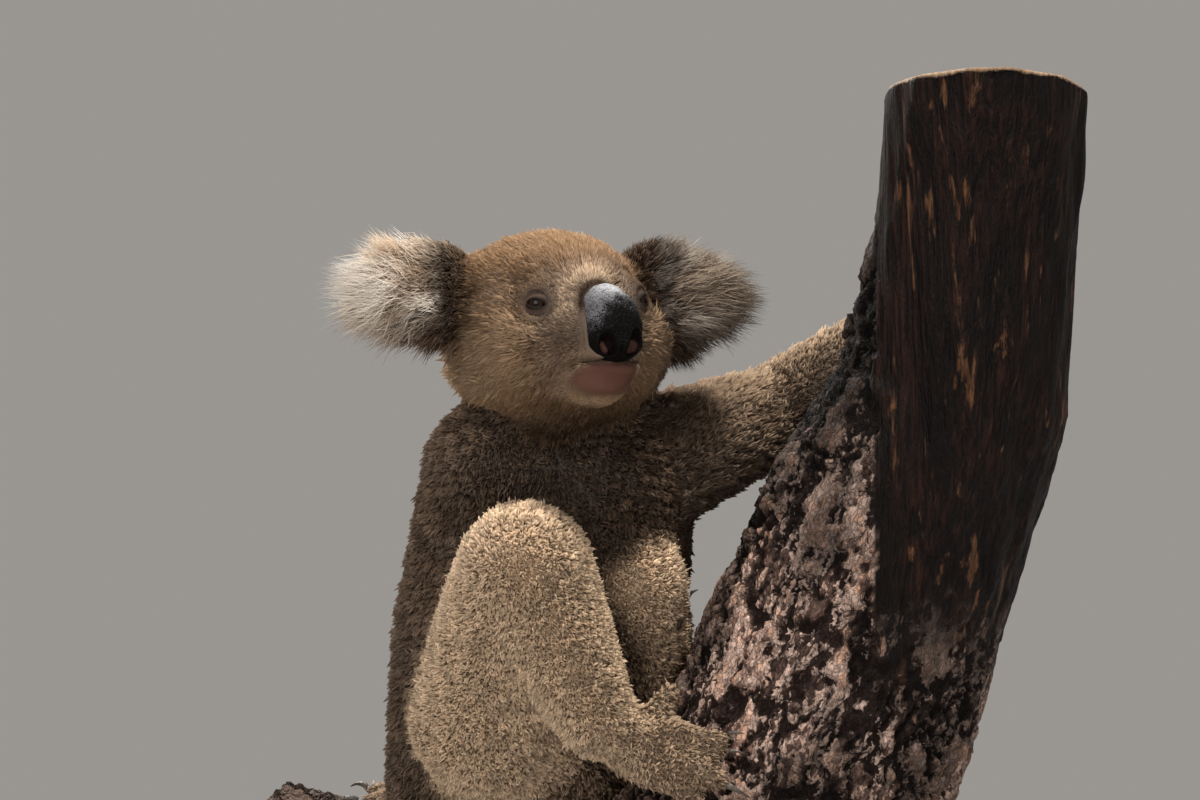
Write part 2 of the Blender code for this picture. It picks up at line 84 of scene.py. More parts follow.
def set_points(thing, points):
    thing.data.vertices.foreach_set("co", np.ascontiguousarray(points).ravel())
    thing.data.update()


def set_mark(thing, name, values):
    """Writes one number for each point, which a material reads by name."""
    mark = thing.data.attributes.get(name) or thing.data.attributes.new(name, "FLOAT", "POINT")
    mark.data.foreach_set("value", np.ascontiguousarray(values, np.float32))


def modify(thing, kind, **settings):
    """Adds a modifier and applies it at once."""
    make_active(thing)
    modifier = thing.modifiers.new(kind.title(), kind)
    for name, value in settings.items():
        setattr(modifier, name, value)
    bpy.ops.object.modifier_apply(modifier=modifier.name)
    return thing


def copy_solids(name, nodes):
    """One new mesh from copies of CAD nodes, with their loose triangles merged."""
    deselect()
    for node in nodes:
        part = bpy.data.objects.new(name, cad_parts[node].data.copy())
        bpy.context.scene.collection.objects.link(part)
        part.select_set(True)
        bpy.context.view_layer.objects.active = part
    if len(nodes) > 1:
        bpy.ops.object.join()
    joined = bpy.context.view_layer.objects.active
    joined.name = name
    joined.data.materials.clear()
    bpy.ops.object.mode_set(mode="EDIT")
    bpy.ops.mesh.select_all(action="SELECT")
    bpy.ops.mesh.remove_doubles(threshold=1e-5)
    bpy.ops.mesh.normals_make_consistent(inside=False)
    bpy.ops.object.mode_set(mode="OBJECT")
    return joined


def place_piece(thing, finish, nodes=()):
    """Gives a finished piece its material, smooth faces and its body, and hides the CAD nodes it
    stands in for.
    """
    thing.data.materials.clear()
    thing.data.materials.append(finish)
    thing.data.polygons.foreach_set("use_smooth", [True] * len(thing.data.polygons))
    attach(thing, "root")
    if nodes:
        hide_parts(*nodes)
    thing.data.calc_loop_triangles()
    print(f"{thing.name}: {len(thing.data.loop_triangles)} triangles")
    return thing


def smoothstep(low, high, value):
    t = np.clip((np.asarray(value, float) - low) / (high - low), 0, 1)
    return t * t * (3 - 2 * t)


def bump_at(points, centre, sizes):
    """A soft round mask, 1 at the centre and near 0 past the sizes."""
    away = (points - np.array(centre)) / np.array(sizes)
    return np.exp(-(away ** 2).sum(axis=1))


# %% [markdown]
# ## A way to write materials
# A material is a net of small nodes. Written by hand that is long, so a wrapped socket lets plain
# arithmetic such as `1 - tip * 0.5` add the maths nodes, and one method adds any other node.

# %% Tools for materials
class Value:
    """A number, colour or vector on its way through a material."""

    def __init__(self, finish, socket):
        self.finish, self.socket = finish, socket

    def math(self, operation, first, second):
        return self.finish.node("Math", {"operation": operation}, {0: first, 1: second})

    def __add__(self, other):
        return self.math("ADD", self, other)

    def __sub__(self, other):
        return self.math("SUBTRACT", self, other)

    def __rsub__(self, other):
        return self.math("SUBTRACT", other, self)

    def __mul__(self, other):
        return self.math("MULTIPLY", self, other)

    def __truediv__(self, other):
        return self.math("DIVIDE", self, other)

    def __pow__(self, other):
        return self.math("POWER", self, other)

    __radd__, __rmul__ = __add__, __mul__

    def between(self, low, high):
        """0 below low and 1 above high, eased in between; low may be the larger."""
        return self.finish.node("MapRange", {"interpolation_type": "SMOOTHSTEP"},
                                {"Value": self, "From Min": low, "From Max": high})


class Finish:
    """A material in the making, round one Principled shader."""

    def __init__(self, name, **constants):
        self.material = bpy.data.materials.new(name)
        self.material.use_nodes = True
        self.tree = self.material.node_tree
        self.shader = self.tree.nodes["Principled BSDF"]
        for socket, number in constants.items():
            self.shader.inputs[socket.replace("_", " ")].default_value = number

    def node(self, kind, settings=None, inputs=None, output=0):
        made = self.tree.nodes.new("ShaderNode" + kind)
        for name, setting in (settings or {}).items():
            setattr(made, name, setting)
        for name, source in (inputs or {}).items():
            if isinstance(source, Value):
                self.tree.links.new(source.socket, made.inputs[name])
            else:
                made.inputs[name].default_value = source
        return Value(self, made.outputs[output])

    def mark(self, name):
        return self.node("Attribute", {"attribute_name": name}, output="Fac")

    def place(self, scale=(1, 1, 1), shift=(0, 0, 0)):
        raw = self.node("TexCoord", output="Object")
        return self.node("Mapping", None, {"Vector": raw, "Scale": scale, "Location": shift})

    def noise(self, place, scale, detail=3.0, rough=0.55, warp=0.0):
        return self.node("TexNoise", None, {"Vector": place, "Scale": scale, "Detail": detail,
                                            "Roughness": rough, "Distortion": warp})

    def cells(self, place, scale, feature="F1", output=0):
        return self.node("TexVoronoi", {"feature": feature},
                         {"Vector": place, "Scale": scale}, output)

    def mix(self, amount, first, second, blend="MIX"):
        """Two colours mixed by an amount from 0 to 1."""
        made = self.tree.nodes.new("ShaderNodeMix")
        made.data_type, made.blend_type, made.clamp_factor = "RGBA", blend, True
        sources = {0: amount, 6: first, 7: second}
        for slot, source in sources.items():
            if isinstance(source, Value):
                self.tree.links.new(source.socket, made.inputs[slot])
            else:
                made.inputs[slot].default_value = (*source, 1) if slot else source
        return Value(self, made.outputs[2])

    def shade(self, colour, brightness):
        """A colour made darker or lighter by a number."""
        grey = self.node("CombineXYZ", None, {0: brightness, 1: brightness, 2: brightness})
        return self.mix(1.0, colour, grey, "MULTIPLY")

    def feed(self, socket, value):
        self.tree.links.new(value.socket, self.shader.inputs[socket])

    def bump(self, height, depth, strength=1.0):
        self.feed("Normal", self.node("Bump", None, {"Height": height, "Distance": depth,
                                                     "Strength": strength}, "Normal"))


# %% [markdown]
# ## The head's own directions
# The head is turned and tilted, so everything on the face is easier to place in millimetres
# forward, to the animal's left, and above a point between its eyes. These are the solid model's
# own.

# %% The head's frame
HEAD = np.array((-0.089, -0.069, 0.605))
HEAD_YAW, HEAD_PITCH, HEAD_ROLL = (math.radians(a) for a in (26.5, 3.0, 4.5))


def head_axes():
    forward = Vector((math.sin(HEAD_YAW) * math.cos(HEAD_PITCH),
                      -math.cos(HEAD_YAW) * math.cos(HEAD_PITCH), math.sin(HEAD_PITCH)))
    left = Matrix.Rotation(HEAD_ROLL, 3, forward) @ Vector((0, 0, 1)).cross(forward).normalized()
    return np.array([forward, left, forward.cross(left)])


AXES = head_axes()                       # rows: forward, left, up


def to_head(points):
    """Places in the head's frame, in millimetres."""
    return (points - HEAD) @ AXES.T / MM


def from_head(places):
    return np.atleast_2d(places) * MM @ AXES + HEAD


def head_vector(vector):
    """A direction given forward, left and up, in the model's frame."""
    return np.array(vector) @ AXES


EYE = {"left": np.array((45.2, 35.2, 0.5)), "right": np.array((44.6, -31.4, -2.3))}
SIGN = {"left": 1, "right": -1}          # the animal's left is the plus side
EYE_AXIS = {side: np.array((0.80, 0.60 * sign, 0.0)) for side, sign in SIGN.items()}


def from_eye(places, side):
    """How far places stand out of an eye's middle along its own direction, and how far aside."""
    away = places - EYE[side]
    high = away @ EYE_AXIS[side]
    return high, np.linalg.norm(away - high[:, None] * EYE_AXIS[side], axis=1)


for side in EYE:
    low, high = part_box(f"eye_{side}")
    print(side, "eye in the head's frame:", to_head(np.array([(low + high) / 2])).round(1))

# %% [markdown]
# ## The skin's form
# On the animal the skin lies a few millimetres under the tips of the coat. The solids show the
# tips, so their copies are swollen a hair to close the joints, melted into one mesh, and
# smoothed. The nose and eyes go in too, so that the skin runs on beneath them, and the face gets
# smaller cells.

# %% One mesh from the flesh solids
COAT_DEPTH = {"head": 6.5, "neck": 8.0, "torso": 7.0, "rump": 7.5, "ear_": 5, "arm_": 6.5,
              "leg_": 6.5, "hand_": 3.0, "foot_": 3.5}   # from the skin to the tips, in millimetres
FLESH = sorted(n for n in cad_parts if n.startswith(tuple(COAT_DEPTH)))
SKIN_CELL = 0.0030
JOINT_SWELL = 0.0007                     # enough for solids that only touch to melt together
skin = copy_solids("skin", FLESH + ["nose", "eye_left", "eye_right"])
modify(skin, "DISPLACE", strength=JOINT_SWELL, mid_level=0.0)
modify(skin, "REMESH", mode="VOXEL", voxel_size=SKIN_CELL)
modify(skin, "SMOOTH", factor=0.5, iterations=7)
print("flesh solids:", len(FLESH), "skin points:", len(skin.data.vertices))

# %% [markdown]
# The face's folds are finer than the cells, so its faces are cut in four, and those round the
# eyes and the mouth once more. Subdividing only there keeps the rest of the skin light.

# %% Smaller cells on the face
def refine(thing, chosen):
    """Cuts each face whose middle is chosen into four."""
    middles = np.empty(len(thing.data.polygons) * 3)
    thing.data.polygons.foreach_get("center", middles)
    make_active(thing)
    bpy.ops.object.mode_set(mode="EDIT")
    bpy.ops.mesh.select_all(action="DESELECT")
    bpy.ops.mesh.select_mode(type="FACE")
    bpy.ops.object.mode_set(mode="OBJECT")
    thing.data.polygons.foreach_set("select", chosen(to_head(middles.reshape(-1, 3))))
    bpy.ops.object.mode_set(mode="EDIT")
    bpy.ops.mesh.subdivide(number_cuts=1)
    bpy.ops.object.mode_set(mode="OBJECT")


def from_nearest_eye(spots):
    return np.minimum(*(np.linalg.norm(spots - centre, axis=1) for centre in EYE.values()))


def on_face(spots):
    return (spots[:, 0] > 28) & (np.abs(spots[:, 1]) < 47) & (np.abs(spots[:, 2] + 24) < 46)


def by_eyes_or_mouth(spots):
    by_mouth = (spots[:, 0] > 46) & (np.abs(spots[:, 1]) < 30) & (np.abs(spots[:, 2] + 52) < 15)
    return (from_nearest_eye(spots) < 17) | by_mouth


refine(skin, on_face)
refine(skin, by_eyes_or_mouth)
modify(skin, "SMOOTH", factor=0.5, iterations=4)
print("skin points:", len(skin.data.vertices))

# %% [markdown]
# Each point is told which solid it belongs to, by the nearest face. The length of the coat, the
# way it lies and its colour all start from that, and are blurred along the surface so no border
# shows.

# %% Which part each point belongs to
corners, triangles, owners = [], [], []
for node in FLESH:
    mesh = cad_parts[node].data
    start = len(corners)
    corners += [v.co.copy() for v in mesh.vertices]
    triangles += [[start + i for i in face.vertices] for face in mesh.polygons]
    owners += [node] * len(mesh.polygons)
solid_tree = BVHTree.FromPolygons(corners, triangles)
OUTER = points_of(skin)
OUTWARD = normals_of(skin)
part_names = np.array([owners[solid_tree.find_nearest(Vector(p))[2]] for p in OUTER])
edges = np.empty(len(skin.data.edges) * 2, np.int32)
skin.data.edges.foreach_get("vertices", edges)
edges = edges.reshape(-1, 2)
neighbours = np.bincount(edges.ravel(), minlength=len(OUTER)).astype(float)


def blur(values, rounds):
    """Averages each point's value with its neighbours', again and again."""
    values = np.array(values, float)
    columns = values.reshape(len(values), -1)
    for _ in range(rounds):
        total = np.empty_like(columns)
        for c in range(columns.shape[1]):
            total[:, c] = (np.bincount(edges[:, 0], columns[edges[:, 1], c], len(columns))
                           + np.bincount(edges[:, 1], columns[edges[:, 0], c], len(columns)))
        columns = 0.5 * columns + 0.5 * total / neighbours[:, None]
    return columns.reshape(values.shape)


def is_part(*starts):
    return np.logical_or.reduce([np.char.startswith(part_names, s) for s in starts]).astype(float)


def soft_part(rounds, *starts):
    """1 on the parts whose names start so and 0 elsewhere, blurred at the border."""
    return blur(is_part(*starts), rounds)


print({name: int((part_names == name).sum()) for name in FLESH})

# %% [markdown]
# The coat is long and woolly on the body, plush on the crown, short as velvet on the muzzle, and
# gone round the eyes and on the chin. The table gives the parts' depths, blurred where they meet,
# and soft masks make it shallower on the muzzle, round the eyes and on the chin.

# %% How deep the coat is
PLACE = to_head(OUTER)                   # where each point is, from between the eyes
ON_HEAD = soft_part(6, "head")
ON_EAR = soft_part(4, "ear_")
CHIN_MIDDLE = (66.0, -1.5, -53.0)

depth = blur(sum(is_part(part) * size for part, size in COAT_DEPTH.items()), 10)
muzzle = bump_at(PLACE, (70, 0, -25), (30, 34, 34))
depth *= 1 - ON_HEAD * 0.62 * np.clip(muzzle * 1.5, 0, 1)
depth *= 1 - ON_HEAD * 0.6 * smoothstep(20, 9, from_nearest_eye(PLACE))
depth *= 1 - ON_HEAD * 0.6 * bump_at(PLACE, CHIN_MIDDLE, (22, 24, 16))
print("coat depth, mm:", depth.min().round(1), "to", depth.max().round(1))

# %% [markdown]
# Now the skin is drawn in by that depth. Seen without its fringe, the ear is a small thick shell
# with a hollow front, so its points move towards its root instead, and the front is pressed in.

# %% Drawing the skin in
shape = to_head(OUTER - OUTWARD * (depth * MM)[:, None])
EAR_ROOT = 56.0                          # how far the ear's root is from the middle of the head
EAR_MIDDLE = {1: 11.0, -1: 16.0}         # how high the ear's middle is: left, right
EAR_HOLLOW = 8.0                         # how deep the front of the ear is pressed in
for sign, middle in EAR_MIDDLE.items():
    reach = PLACE[:, 1] * sign
    own = ON_EAR * smoothstep(48, 70, reach)
    outer_share = np.clip((reach - EAR_ROOT) / 50, 0, 1)
    ear = shape.copy()
    ear[:, 0] = 1 + (shape[:, 0] - 1) * 0.80
    ear[:, 1] = sign * (EAR_ROOT + (reach - EAR_ROOT) * 0.60)
    ear[:, 2] = middle + (shape[:, 2] - middle) * (0.95 - 0.25 * outer_share)
    shape += (ear - shape) * own[:, None]
    facing = smoothstep(-0.1, 0.5, OUTWARD @ AXES[0])
    hollow = bump_at(shape, (0, sign * 76, middle), (60, 15, 17)) * facing * (reach > 52)
    shape[:, 0] -= EAR_HOLLOW * hollow
print("most drawn in, mm:", round(float(np.linalg.norm(shape - PLACE, axis=1).max()), 1))

# %% [markdown]
# ## The face
# The solids stop at the tips of the fur, so the face's folds are added here: a seat under the
# nose pad, the seats of the eyes with a brow over each, and the line of the mouth, which runs
# under the nose and down beside the chin. Every fold is a soft bump or a groove along a line.

# %% Nose seat and chin
outward = OUTWARD @ AXES.T
face = (ON_HEAD > 0.5).astype(float)
chin = bump_at(shape, (64, -1.0, -54), (26, 20, 9))
under_pad = smoothstep(1.05, 0.72, np.hypot((shape[:, 1] - 1) / 16, (shape[:, 2] + 20) / 24.5))
shape[:, 0] -= 8.5 * under_pad * face * (shape[:, 0] > 48)
shape += outward * (2.0 * chin * face)[:, None]
print("points on the head:", int(face.sum()))

# %% Eye seats and brows
SOCKET_HEIGHT, SEAT_HEIGHT = 4.9, 1.2    # the fur's seat round an eye, and the bare seat under it
SOCKET_EDGE = 8.3                        # how far from the eye's middle line the bare seat reaches
for side, sign in SIGN.items():
    high, across = from_eye(shape, side)
    socket = SOCKET_HEIGHT - 0.028 * across ** 2
    raised = high + (np.maximum(socket, high) - high) * smoothstep(17, 9, across)
    middle = EYE[side]
    brow = bump_at(shape, middle + np.array((3, -2 * sign, 11.5)), (9, 13, 4.5))
    bag = bump_at(shape, middle + np.array((4, 1 * sign, -9.5)), (9, 10, 2.6))
    fold = bump_at(shape, middle + np.array((3, 2 * sign, -13.5)), (9, 11, 1.8))
    tear = bump_at(shape, middle + np.array((8, -9.5 * sign, -2.5)), (7, 4, 4))
    raised += 2.2 * brow + 0.7 * bag - 0.6 * fold - 0.9 * tear
    seat = SEAT_HEIGHT + (socket - SEAT_HEIGHT) * smoothstep(5.6, SOCKET_EDGE, across)
    raised = np.where((across < SOCKET_EDGE) & (high > -6), np.minimum(raised, seat), raised)
    near = (face > 0) & (high > -14) & (across < 22)
    shape += (near * (raised - high))[:, None] * EYE_AXIS[side]
    print(side, "eye seat points:", int(near.sum()))

# %% The line of the mouth
MOUTH_HALF = [(40, 27.5, -59), (50, 26.5, -50), (60, 24.0, -44), (69, 18.5, -42), (75, 9, -43),
              (77, 0, -44)]
mouth_line = [np.array(p, float) for p in MOUTH_HALF]
mouth_line += [np.array((f, -l, u), float) for f, l, u in reversed(MOUTH_HALF[:-1])]


def distance_to_line(points, line):
    """How far each point is from a line of short straight stretches."""
    nearest = np.full(len(points), 1e9)
    for start, end in zip(line, line[1:]):
        along = end - start
        t = np.clip(((points - start) @ along) / (along @ along), 0, 1)
        nearest = np.minimum(nearest, np.linalg.norm(points - start - t[:, None] * along, axis=1))
    return nearest


MOUTH_GAP = distance_to_line(shape, mouth_line)
groove = np.exp(-(MOUTH_GAP / 1.5) ** 2)
lips = np.exp(-((MOUTH_GAP - 3.8) / 2.2) ** 2)
shape += outward * ((0.8 * lips - 3.0 * groove) * face)[:, None]
set_points(skin, from_head(shape))
modify(skin, "SMOOTH", factor=0.3, iterations=2)
print("mouth line points:", int((MOUTH_GAP < 2).sum()))

# %% [markdown]
# ## The nose
# The big pad is bare leather: fine pebbles, a grey bloom over its top with a painted highlight and
# sheen on it, and black, damp skin below.
# The solid is melted to fine cells and smoothed, which costs it a little size that is then given
# back, and the pad stands just proud of the face. Its underside is flattened and narrowed.

# %% The nose pad
PAD_CELL = 0.0009
PAD_SWELL, PAD_FORWARD = 0.35, 2.5       # what smoothing took, and how far the pad stands proud
PAD_MIDDLE = 1.8                         # the pad's middle line, just to the animal's left
PAD_FOOT = -37.0                         # below this height the pad is flattened
nose = copy_solids("nose_pad", ["nose"])
modify(nose, "REMESH", mode="VOXEL", voxel_size=PAD_CELL)
modify(nose, "SMOOTH", factor=0.5, iterations=14)
pad = to_head(points_of(nose))
pad_out = normals_of(nose) @ AXES.T
pad += pad_out * PAD_SWELL
pad += (PAD_FORWARD, PAD_MIDDLE, 0)
pad[:, 2] -= 1.3 * smoothstep(-12, 2, pad[:, 2])
pad[:, 2] = np.where(pad[:, 2] < PAD_FOOT, PAD_FOOT + (pad[:, 2] - PAD_FOOT) * 0.8, pad[:, 2])
pad[:, 1] -= 0.05 * (pad[:, 1] - PAD_MIDDLE) * smoothstep(-22, -42, pad[:, 2])
print("pad points:", len(pad), "size, mm:", np.ptp(pad, axis=0).round(1))

# %% [markdown]
# The nostrils are pressed in as commas that start near the middle and curl out and up at the
# sides. An oval bent along its length gives the comma, and pushing only what faces forward keeps
# it clean.

# %% Nostrils
SEPTUM = 0.4                             # the wall between the nostrils
NOSTRIL_ASIDE, NOSTRIL_HEIGHT = 8.2, -34.6
NOSTRIL_DEPTH, LEAN = 6.0, 0.30          # how deep they are, and how far their tops part
front = smoothstep(-0.10, 0.30, pad_out[:, 0])
pit, wall = np.zeros(len(pad)), np.zeros(len(pad))
for sign, wide, tall in ((1, 4.8, 7.6), (-1, 4.0, 6.8)):
    x, y = (pad[:, 1] - SEPTUM) * sign - NOSTRIL_ASIDE, pad[:, 2] - NOSTRIL_HEIGHT
    x, y = x * math.cos(LEAN) - y * math.sin(LEAN), x * math.sin(LEAN) + y * math.cos(LEAN)
    bow = x + 0.035 * (y - 1.0) ** 2 - 0.6
    oval = np.hypot(bow / wide, y / tall)
    hole = smoothstep(1.0, 0.62, oval) * front
    rim = np.exp(-((oval - 1.18) / 0.16) ** 2) * front
    pad[:, 0] += (0.6 + 0.6 * (bow > 0)) * rim - NOSTRIL_DEPTH * hole
    pad[:, 1] -= sign * 2.0 * hole
    pit = np.maximum(pit, hole)
    wall = np.maximum(wall, hole * smoothstep(-0.8, 2.2, bow) * smoothstep(6.5, 1.5, abs(y)))
parting = np.exp(-((pad[:, 1] - SEPTUM) / 1.1) ** 2) * smoothstep(-31, -40, pad[:, 2]) * front
pad[:, 0] -= 0.9 * parting
set_points(nose, from_head(pad))
modify(nose, "SMOOTH", factor=0.4, iterations=2)
set_mark(nose, "pit", pit)
set_mark(nose, "wall", wall)
flank = bump_at(pad, (70, PAD_MIDDLE - 13, -25), (16, 5, 12))
beside = np.abs(pad[:, 1] - PAD_MIDDLE)
# Partly the pad's grey bloom and partly painted sheen, greyer towards the top and down one flank.
set_mark(nose, "bloom_and_sheen", np.clip(smoothstep(-32, 5, pad[:, 2] + 0.42 * beside) + 0.7 * flank, 0, 1))
# Painted highlight: the crest mark makes the pad's top pale blue-grey, where light would catch it.
set_mark(nose, "crest", bump_at(pad, (70, PAD_MIDDLE, 1), (16, 9, 9)) + 0.2 * flank)
print("nostril points:", int((pit > 0.5).sum()))

# %% Nose finish
def nose_finish():
    finish = Finish("nose_leather", Specular_IOR_Level=0.05)
    place = finish.place()
    pebble = finish.cells(place, 700.0)
    fine = finish.noise(place, 1100.0, 3.0, 0.7)
    patch = finish.noise(place, 200.0, 4.0, 0.65)
    # The grey over the pad: partly its bloom, partly painted sheen.
    dust_and_sheen = (finish.mark("bloom_and_sheen") * 1.1 + patch * 0.8 + fine * 1.5 - 1.55).between(0.15, 0.8)
    # Painted highlight: pale blue-grey at the crest, the top of the pad.
    grey = finish.mix(finish.mark("crest"), (0.130, 0.130, 0.143), (0.64, 0.65, 0.70))
    grey = finish.shade(grey, dust_and_sheen * 0.85 + 0.15)
    colour = finish.mix(dust_and_sheen, (0.0022, 0.0018, 0.0019), grey)
    # Painted shade: the nostril pits are made near black, as the shade inside them.
    colour = finish.mix(finish.mark("pit") * 0.9, colour, (0.006, 0.003, 0.0025))
    colour = finish.mix(finish.mark("wall").between(0.2, 0.7), colour, (0.110, 0.052, 0.043))
    finish.feed("Base Color", colour)
    finish.feed("Roughness", dust_and_sheen * 0.14 + patch * 0.16 + 0.32)
    finish.bump(pebble + fine * 0.8, 0.0009, 0.9)
    return finish.material


place_piece(nose, nose_finish(), ["nose"])
nose_tree = BVHTree.FromPolygons([Vector(p) for p in points_of(nose)],
                                 [tuple(face.vertices) for face in nose.data.polygons])


def past_nose(point):
    """How far a point is outside the nose pad, in millimetres; below 0 inside it."""
    near, normal, _, distance = nose_tree.find_nearest(Vector(point))
    return math.copysign(distance, (Vector(point) - near).dot(normal)) / MM

# %% [markdown]
# ## Markings
# Skin and coat are coloured by the same marks, worked out once for each point of the skin, and a
# hair takes the marks of the place that it grows from. A mark is a sum of soft masks, so first
# come the measures that masks are made of: how far a point is from the pad, the eyes, the chin or
# an ear's rim.

# %% Measures over the skin
SHAPE = to_head(points_of(skin))
FACING = normals_of(skin) @ AXES.T       # which way each point faces, in the head's frame
f, l, u = SHAPE.T
to_pad = np.full(len(SHAPE), 99.0)
for i in np.flatnonzero((f > 25) & (np.abs(l) < 45)):
    to_pad[i] = past_nose(from_head(SHAPE[i])[0])

aside = np.abs(l)                        # how far a point is from the head's middle plane
ear_front = ON_EAR * smoothstep(-0.2, 0.3, FACING[:, 0])
above_ear = u - np.where(l > 0, EAR_MIDDLE[1], EAR_MIDDLE[-1])      # height over the ear's middle
ear_edge = np.hypot((aside - 54) / 46, above_ear / 26)              # 1 at the ear's rim
ear_reach = smoothstep(0.35, 0.95, ear_edge) * smoothstep(52, 70, aside)
# Painted light: the ears' fur is made paler towards the top and darker towards the foot, as light
# from above.
ear_high = smoothstep(-24, 6, above_ear)
chin_oval = np.sqrt(((l + 2.0) / 24) ** 2 + ((u + 50.5) / 11.5) ** 2 + ((f - 70) / 30) ** 2)
eye_gap = np.full(len(SHAPE), 99.0)      # how far from an eye's middle line
for side in EYE:
    high, across = from_eye(SHAPE, side)
    eye_gap = np.where(high > -12, np.minimum(eye_gap, across), eye_gap)
below_mouth = smoothstep(-42, -46, u)
# Painted light: on the arms, fur that faces up is made paler and warmer.
top_painted_light = smoothstep(-0.4, 0.8, normals_of(skin)[:, 2])
towards_stem = points_of(skin)[:, 0]     # metres to the animal's left of the whole model's middle
shins = soft_part(14, "leg_right_shin", "leg_left_shin")
thighs = soft_part(14, "leg_right_thigh", "leg_left_thigh")
paws = soft_part(10, "hand_", "foot_")
rump = soft_part(20, "rump")
arms = soft_part(10, "arm_")
torso = soft_part(10, "torso", "neck")
print("nearest to the pad, mm:", to_pad.min().round(1), "to an eye's line:", eye_gap.min().round(1))

# %% [markdown]
# Now the fur's markings. A koala has cream over the nose, a dark line round the pad's top, a pale
# rim under the chin, ginger cheeks and crown, white ear tufts, and cream knees over umber wool.
# Painted light and shade are mixed into the same marks: paler tops on the arms and the ears, and
# darker fur on the arm away from the stem, on the left ear, the throat and the sides of the muzzle.

# %% Markings of the fur
over_nose = np.exp(-((to_pad - 10) / 6) ** 2) * smoothstep(-26, -6, u)
rim_width = 2.6 + 1.4 * smoothstep(-2, 3, u)
nose_rim = smoothstep(1.0, -0.8, to_pad - rim_width) * smoothstep(-16, -6, u)
chin_rim = np.exp(-((chin_oval - 1.12) / 0.24) ** 2) * below_mouth
ear_tuft = sum(strength * bump_at(SHAPE, (6, s * 80, EAR_MIDDLE[s] - 10), (16, 6.5, 5.5))
               for s, strength in ((1, 0.35), (-1, 1.0)))
cheek = smoothstep(16, 38, aside) * smoothstep(6, -14, u) * smoothstep(-52, -36, u)


def by_each_eye(*spots):
    """Soft round masks beside both eyes: their strength, place outwards and up, and sizes."""
    return sum(strength * bump_at(SHAPE, EYE[side] + np.array((ahead, s * outwards, up)), sizes)
               for side, s in SIGN.items() for strength, (ahead, outwards, up), sizes in spots)


cheekbone = by_each_eye((1.0, (-4, 15, 8), (14, 8, 6)), (0.7, (6, 4, -15), (14, 13, 5)))
eye_shade = by_each_eye((1.0, (3, -4, 9.5), (9, 6, 4)), (1.0, (-3, 14, -5), (10, 7, 3)))
pale = (ON_HEAD * (0.50 * over_nose + 0.24 * chin_rim + 0.12 * cheekbone + 0.14 * cheek)
        # Painted shade: the left ear is made less pale than the right.
        + ON_EAR * (0.10 + 0.80 * ear_reach) * ear_high * (1 - 0.60 * (l > 0))
        + 1.0 * shins + 0.85 * thighs + 0.40 * paws + 0.30 * rump
        # Painted light and shade: the arms paler on top, and only on the arm nearer the stem.
        + arms * (0.14 + 0.20 * top_painted_light) * smoothstep(-0.02, 0.04, towards_stem))
white = (ear_front * (0.14 * ear_high * smoothstep(62, 72, aside) + ear_tuft)
         # Painted shade: the left ear's fringe is made less white.
         + 0.85 * ON_EAR * ear_high * ear_reach ** 3 * (1 - 0.75 * (l > 0))
         * smoothstep(66, 86, aside))
soft = ON_HEAD * 0.7 + np.clip(shins + thighs, 0, 1) + 0.6 * np.clip(arms + torso, 0, 1)
ashen_face = ON_HEAD * np.clip(1.3 * bump_at(SHAPE, (58, 0, -8), (36, 44, 30)), 0, 1)
ash = ashen_face + 0.55 * arms + 0.45 * torso
warm = (ON_HEAD * (0.85 * smoothstep(4, 28, u) * smoothstep(62, 46, f)
                   + 0.80 * smoothstep(20, 42, aside) * smoothstep(10, -12, u)
                   # Painted light: the fur under the jaw made warmer, as warm light thrown into its
                   # shade.
                   + 0.60 * smoothstep(-42, -58, u)) * (1 - 0.5 * ashen_face)
        # Painted light: the arms' tops made warmer.
        + 0.15 * arms * top_painted_light)
by_ear = blur(ear_front, 12) * smoothstep(82, 66, aside)
# Painted shade: the left ear is made darker, most at its top.
left_ear_shade = (l > 0) * (0.32 + 0.35 * smoothstep(8, 20, above_ear))
dark = (by_ear * 0.80 * (1 - ear_tuft) + ON_EAR * (0.45 * (1 - ear_high) + left_ear_shade)
        + ON_HEAD * (0.40 * smoothstep(15, 8, eye_gap) + 0.95 * nose_rim
                     + 0.55 * smoothstep(43, 56, aside) * smoothstep(-22, -4, u)
                     # Painted shade under the head: the throat and jaw made darker.
                     + 0.72 * smoothstep(-44, -62, u) * (1 - chin_rim)
                     # Painted shade on both sides of the muzzle, from below the eyes to the mouth.
                     + 0.36 * bump_at(SHAPE, (60, -23, -20), (20, 13, 15))
                     + 0.46 * bump_at(SHAPE, (60, 24, -22), (20, 12, 18)) + 0.35 * eye_shade)
        # Painted shade: the arm away from the stem is made darker.
        + 0.52 * torso + 0.30 * arms * smoothstep(0.02, -0.04, towards_stem))

# %% Bare skin, and the marks written down
bare_eye = ON_HEAD * smoothstep(10.0, 7.8, eye_gap)
bare_chin = ON_HEAD * smoothstep(1.15, 0.55, chin_oval) * below_mouth
lip = ON_HEAD * np.exp(-(MOUTH_GAP / 1.7) ** 2)
marks = {name: np.clip(values, 0, 1) for name, values in {
    "pale": pale, "warm": warm, "dark": dark, "ash": ash, "white": white, "soft": soft,
    "bare_eye": bare_eye, "bare_chin": bare_chin, "lip": lip}.items()}
for name, values in marks.items():
    set_mark(skin, name, values)
print({name: round(float(values.mean()), 3) for name, values in marks.items()})

# %% [markdown]
# The colours are a wild koala's: umber wool, cream on the knees and the ears' fringes, ginger on
# the crown. The roots are darker than the tips, partly the hair's own banding and partly painted
# shade deep in the coat, and the skin is painted darker still, as the shade down among the roots.

